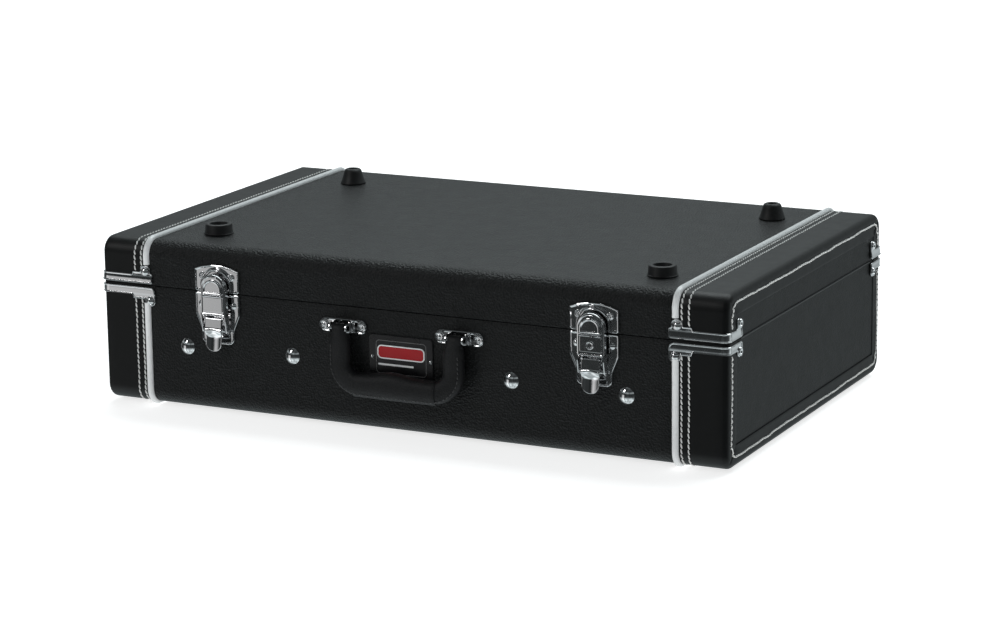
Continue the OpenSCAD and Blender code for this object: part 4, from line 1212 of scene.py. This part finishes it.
def make_handle_stitches():
    """Dark thread along the lower outer edge of the grip and up both arms."""
    shape = Shape()
    path = []
    for side in (-1, 1):
        pts = []
        for (cx, cz), (dx, dz), _, hi, _, w_out in handle_stations()[8:]:
            pts.append(front(side * (abs(cx) - dx * (2.6 - w_out)), cz + dz * (2.6 - w_out), hi - 0.45))
        if side > 0:
            pts.reverse()
            path += [front(x, GRIP_LO + 2.6, 15.7) for x in (-24, -12, 0, 12, 24)]
        path += pts
    normals = [(0, -1, -0.3)] * len(path)
    stitch_path(shape, path, normals, 3.4, 1.2, 0.4, random.Random(SEED), 0.05)
    build(shape, "handle_stitches", "handle", "handle_vinyl", look=DARK_THREAD, merge=0.0005)


def make_handle_plates():
    """Mounting plates with a low rim and two ears each round the handle's pin."""
    shape = Shape()
    steps = [(0.1, 0), (0, 0.3), (0, 0.9), (0.25, 1.2), (0.7, 1.3), (1.1, 1.1), (1.5, 0.95)]
    ear = [(0.8, -4.0)] + arc(7, 0, 3.6, -80, 80, 8) + [(0.8, 4.0)]
    for side in (-1, 1):
        def at(x, z, out, side=side):
            return front(side * MOUNT_X + x, MOUNT_Z + z, out)
        sheet(shape, rect(-19, -5, 19, 5, 4.8), steps, at, (2.0, 2.0))
        for s in (-1, 1):
            x0, x1 = sorted((s * 6.0, s * 7.2))
            slab(shape, x0, x1, ear, at, 0.3)
            fillet = [(s * 7.2, -3.6, 0.5), (s * 9.4, -3.0, 0.5), (s * 9.4, 3.0, 0.5), (s * 7.2, 3.6, 0.5)]
            if s < 0:
                fillet.reverse()
            pressing(shape, fillet, [(0, 0.8), (0.3, 1.6), (1.0, 2.2)], at, 3)
    build(shape, "handle_mounts", "cover", "chrome_plate", "handle_plates")


# ---------- badge and rivets ----------

BADGE_Z = 56
DOME_R = 6.1
INNER_DOME = (88, 48.6)
MOUNT_RIVET_X = 15.5


def make_badge():
    """Plain plate with a grey border line, an enamel bar in a white rim and one white line."""
    def at(x, z, out):
        return front(x, BADGE_Z + z, out)
    shape = Shape()
    pressing(shape, rect(-25.5, -16, 25.5, 16, 3),
             [(0.1, 0), (0, 0.3), (0, 0.7), (0.2, 0.95), (0.6, 1.0)], at)
    build(shape, "badge_panel", "cover", "badge_black", "badge_plate")
    line = Shape()
    rail(line, outline(rect(-20, -12, 20, 12, 2.5)), [(-0.3, 0.9), (-0.2, 1.2), (0.2, 1.2), (0.3, 0.9)],
         at, closed=True)
    build(line, "badge_border", "cover", "white_piping", look=GREY_LINE)
    bar = Shape()
    pressing(bar, rect(-18, -0.4, 18, 7.8, 2.5),
             [(0.1, 0.9), (0, 1.1), (0, 1.3), (0.15, 1.45), (0.5, 1.5)], at)
    build(bar, "badge_enamel", "cover", "red_enamel", "badge_label")
    rim = Shape()
    rail(rim, outline(rect(-18.5, -0.9, 18.5, 8.3, 2.9)),
         [(-0.5, 0.9), (-0.4, 1.45), (0, 1.6), (0.4, 1.45), (0.5, 0.9)], at, closed=True)
    pressing(rim, rect(-18.5, -6.2, 10, -4.8, 0.6), [(0, 0.9), (0, 1.2), (0.2, 1.3)], at, 3)
    build(rim, "badge_rim", "cover", "white_piping")


def make_domes():
    """Two domed rivets on each side of the handle, the outer pair a little lower."""
    lo, hi = box_mm("dome_rivets")
    mid = (lo[0] + hi[0]) / 2
    shape = Shape()
    for x, z in (INNER_DOME, ((hi[0] - lo[0]) / 2 - DOME_R, lo[2] - LIFT + DOME_R)):
        for side in (-1, 1):
            stud(shape, dome_profile(DOME_R, 2.7, 12), front, mid + side * x, z, 0, 48)
    build(shape, "front_domes", "cover", "chrome_plate", "dome_rivets")


TUBULAR = [(3.7, 0), (3.75, 0.5), (3.4, 1.2), (2.8, 1.6), (2.2, 1.5), (1.8, 1.0), (1.5, 0.9), (1.1, 1.2),
           (0.6, 1.4)]


def make_plate_rivets():
    """Tubular rivets with a dished middle at both ends of each handle mount."""
    shape = Shape()
    for side in (-1, 1):
        for s in (-1, 1):
            stud(shape, TUBULAR, front, side * MOUNT_X + s * MOUNT_RIVET_X, MOUNT_Z, 1.1, 32)
    build(shape, "handle_mount_rivets", "cover", "chrome_plate", "handle_plate_rivets")


def make_base_rivets():
    shape = Shape()
    for side in (-1, 1):
        for s in (-1, 1):
            stud(shape, dome_profile(2.6, 1.6, 8), front, side * LATCH_X + s * BASE_RIVET_X, BASE_RIVET_Z,
                 0.8, 32)
    build(shape, "latch_rivet_heads", "cover", "chrome_plate", "latch_base_rivets")


# ---------- hinges ----------

HINGE_W = 44.0
HINGE_AXIS = 3.4
KNUCKLES = 5
KNUCKLE_R = 3.0


def make_hinges(board):
    """Leaves with rounded corners, each rolled into its own knuckles, and their domed rivets."""
    name = half_name(board)
    lo, hi = box_mm(f"hinge_{name}_leaves")
    rivet_lo, rivet_hi = box_mm(f"hinge_{name}_rivets")
    pin_lo, pin_hi = box_mm("hinge_pins")
    pin_z = (pin_lo[2] + pin_hi[2]) / 2 - LIFT
    centre = hi[0] - HINGE_W / 2
    rivet_z = (rivet_lo[2] + rivet_hi[2]) / 2 - LIFT
    step = HINGE_W / KNUCKLES
    if board:
        corners = rect(-HINGE_W / 2, pin_z + 0.5, HINGE_W / 2, hi[2] - LIFT, 0.3, 3.0)
    else:
        corners = rect(-HINGE_W / 2, lo[2] - LIFT, HINGE_W / 2, pin_z - 0.5, 3.0, 0.3)
    leaves, heads = Shape(), Shape()
    for side in (-1, 1):
        def at(x, z, out, side=side):
            return back(side * centre - x, z, out)
        pressing(leaves, corners, [(0.1, 0), (0, 0.2), (0, 0.8), (0.15, 1.05), (0.45, 1.2)], at)
        for k in range(1 if board else 0, KNUCKLES, 2):
            x0 = -HINGE_W / 2 + k * step + 0.15
            disc(leaves, x0, x0 + step - 0.3, HINGE_AXIS, pin_z, KNUCKLE_R, at, 0.3)
        for dx in (-15, 0, 15):
            stud(heads, dome_profile(2.6, 1.3, 7), at, dx, rivet_z, 1.1, 28)
    build(leaves, f"{name}_hinge_sheets", name, "chrome_plate", f"hinge_{name}_leaves")
    build(heads, f"{name}_hinge_heads", name, "chrome_plate", f"hinge_{name}_rivets")


# ---------- feet ----------

def foot_centres(node):
    """Centres of the left and the right foot, in millimetres of the case."""
    lo, hi = box_mm(node)
    r = (hi[1] - lo[1]) / 2
    y = (lo[1] + hi[1]) / 2 - SHELL_Y
    return [(lo[0] + r, y), (hi[0] - r, y)], (hi[2] - lo[2])


def make_feet(node, name, profile):
    centres, _ = foot_centres(node)
    shape = Shape()
    for cx, cy in centres:
        shape.lathe(profile, lambda a, b, h, cx=cx, cy=cy: (cx + a, cy + b, CASE_H + h), 56)
    build(shape, name, "board", "foot_rubber", node)


def make_all_feet():
    _, tall = foot_centres("front_feet")
    make_feet("front_feet", "front_feet_rubber",
              [(6.3, 3.0), (6.4, tall - 0.9), (6.7, tall - 0.3), (7.2, tall), (8.9, tall), (9.6, tall - 0.35),
               (10.0, tall - 1.1), (10.35, 1.8), (10.6, 1.2), (11.0, 1.0), (11.0, 0.2), (10.6, 0.0)])
    _, tall = foot_centres("rear_feet")
    make_feet("rear_feet", "rear_feet_rubber",
              [(2.9, 3.0), (3.0, tall - 1.0), (3.4, tall - 0.2), (4.0, tall), (5.0, tall), (6.1, tall - 0.5),
               (6.9, tall - 1.7), (7.3, tall - 3.2), (9.5, 1.8), (9.9, 1.2), (10.0, 0.7), (9.7, 0.0)])


# ---------- lining ----------

def make_pad():
    """Foam pad with a plush cover: crowned, its sides pulled in a little between the corners."""
    lo, hi = box_mm("cover_floor_pad")
    z0, z1 = lo[2] - LIFT, hi[2] - LIFT
    half_w, half_d = hi[0] - 0.4, (hi[1] - lo[1]) / 2 - 0.4
    nx, ny = 48, 30
    shape = Shape()

    def point(u, v, top):
        edge = (1 - abs(u) ** 6) * (1 - abs(v) ** 6)
        pull_x = 1 - 0.006 * (1 - v * v) * abs(u) ** 3
        pull_y = 1 - 0.01 * (1 - u * u) * abs(v) ** 3
        ripple = 0.25 * math.sin(u * 9 + v * 4) * math.sin(v * 7)
        z = z0 + 4.6 + (z1 - z0 - 5.0 + ripple) * edge ** 0.45 if top else z0 + 4.6 - 4.4 * edge ** 0.35
        return (u * half_w * pull_x, v * half_d * pull_y, z)
    for top in (True, False):
        shape.rows([[point(-1 + 2 * i / nx, -1 + 2 * j / ny, top) for i in range(nx + 1)]
                    for j in range(ny + 1)])
    pad = build(shape, "floor_cushion", "cover", "plush_lining", "cover_floor_pad", subdiv=1)


def make_lining():
    """Plush glued to the cover's walls, with a rounded top edge."""
    lo, hi = box_mm("cover_wall_lining")
    half_w, half_d = hi[0], (hi[1] - lo[1]) / 2
    z0, z1 = lo[2] - LIFT - 3.2, hi[2] - LIFT
    corners = rect(-half_w, -half_d, half_w, half_d, 2)
    steps = [(0.1, z0), (0.1, z1 - 0.8), (0.4, z1 - 0.2), (1.2, z1), (2.0, z1 - 0.2), (2.7, z1 - 0.9),
             (2.9, z1 - 2.5), (2.9, z0), (0.1, z0)]
    rows = [[(x, y, z) for x, y in outline(corners, i, 4)] for i, z in steps]
    shape = Shape()
    shape.rows(rows, closed=True)
    build(shape, "wall_plush", "cover", "plush_lining", "cover_wall_lining")


def make_deck():
    """Loop fabric over the board's inside, with a slightly soft edge."""
    lo, hi = box_mm("deck_covering")
    half_w, half_d = hi[0] - 0.1, (hi[1] - lo[1]) / 2 - 0.1
    z0, z1 = lo[2] - LIFT, hi[2] - LIFT
    shape = Shape()
    pressing(shape, rect(-half_w, -half_d, half_w, half_d, 3),
             [(0, z1), (0, z0 + 0.8), (0.4, z0 + 0.2), (1.2, z0)], lambda x, y, h: (x, y, h))
    build(shape, "deck_loop_fabric", "board", "loop_fabric", "deck_covering")


# ---------- making it all ----------

bpy.context.scene.view_settings.view_transform = "Standard"
add_camera()
add_lights()
add_stage()

rng = random.Random(SEED)
for on_board in (False, True):
    make_wrap_skin(on_board)
    make_clasps(on_board)
    make_clasp_rivets(on_board)
    for end_side in (-1, 1):
        make_band(on_board, end_side)
        make_end_skin(on_board, end_side)
        make_end_panel(on_board, end_side)
        make_piping(on_board, end_side)
        make_stitching(on_board, end_side, rng)
make_keepers()
make_keeper_screws()
for end_side in (-1, 1):
    make_base(end_side)
    make_lever(end_side)
    make_hasp(end_side)
make_lock()
make_handle()
make_handle_plates()
make_badge()
make_domes()
make_plate_rivets()
make_base_rivets()
for on_board in (False, True):
    make_hinges(on_board)
make_all_feet()
make_pad()
make_lining()
make_deck()

for part in frame["record"]["subparts"]:
    node = frame["nodes"][part["node"]]
    for slot in node.material_slots:
        slot.material = LOOKS[part["material_slot"]]
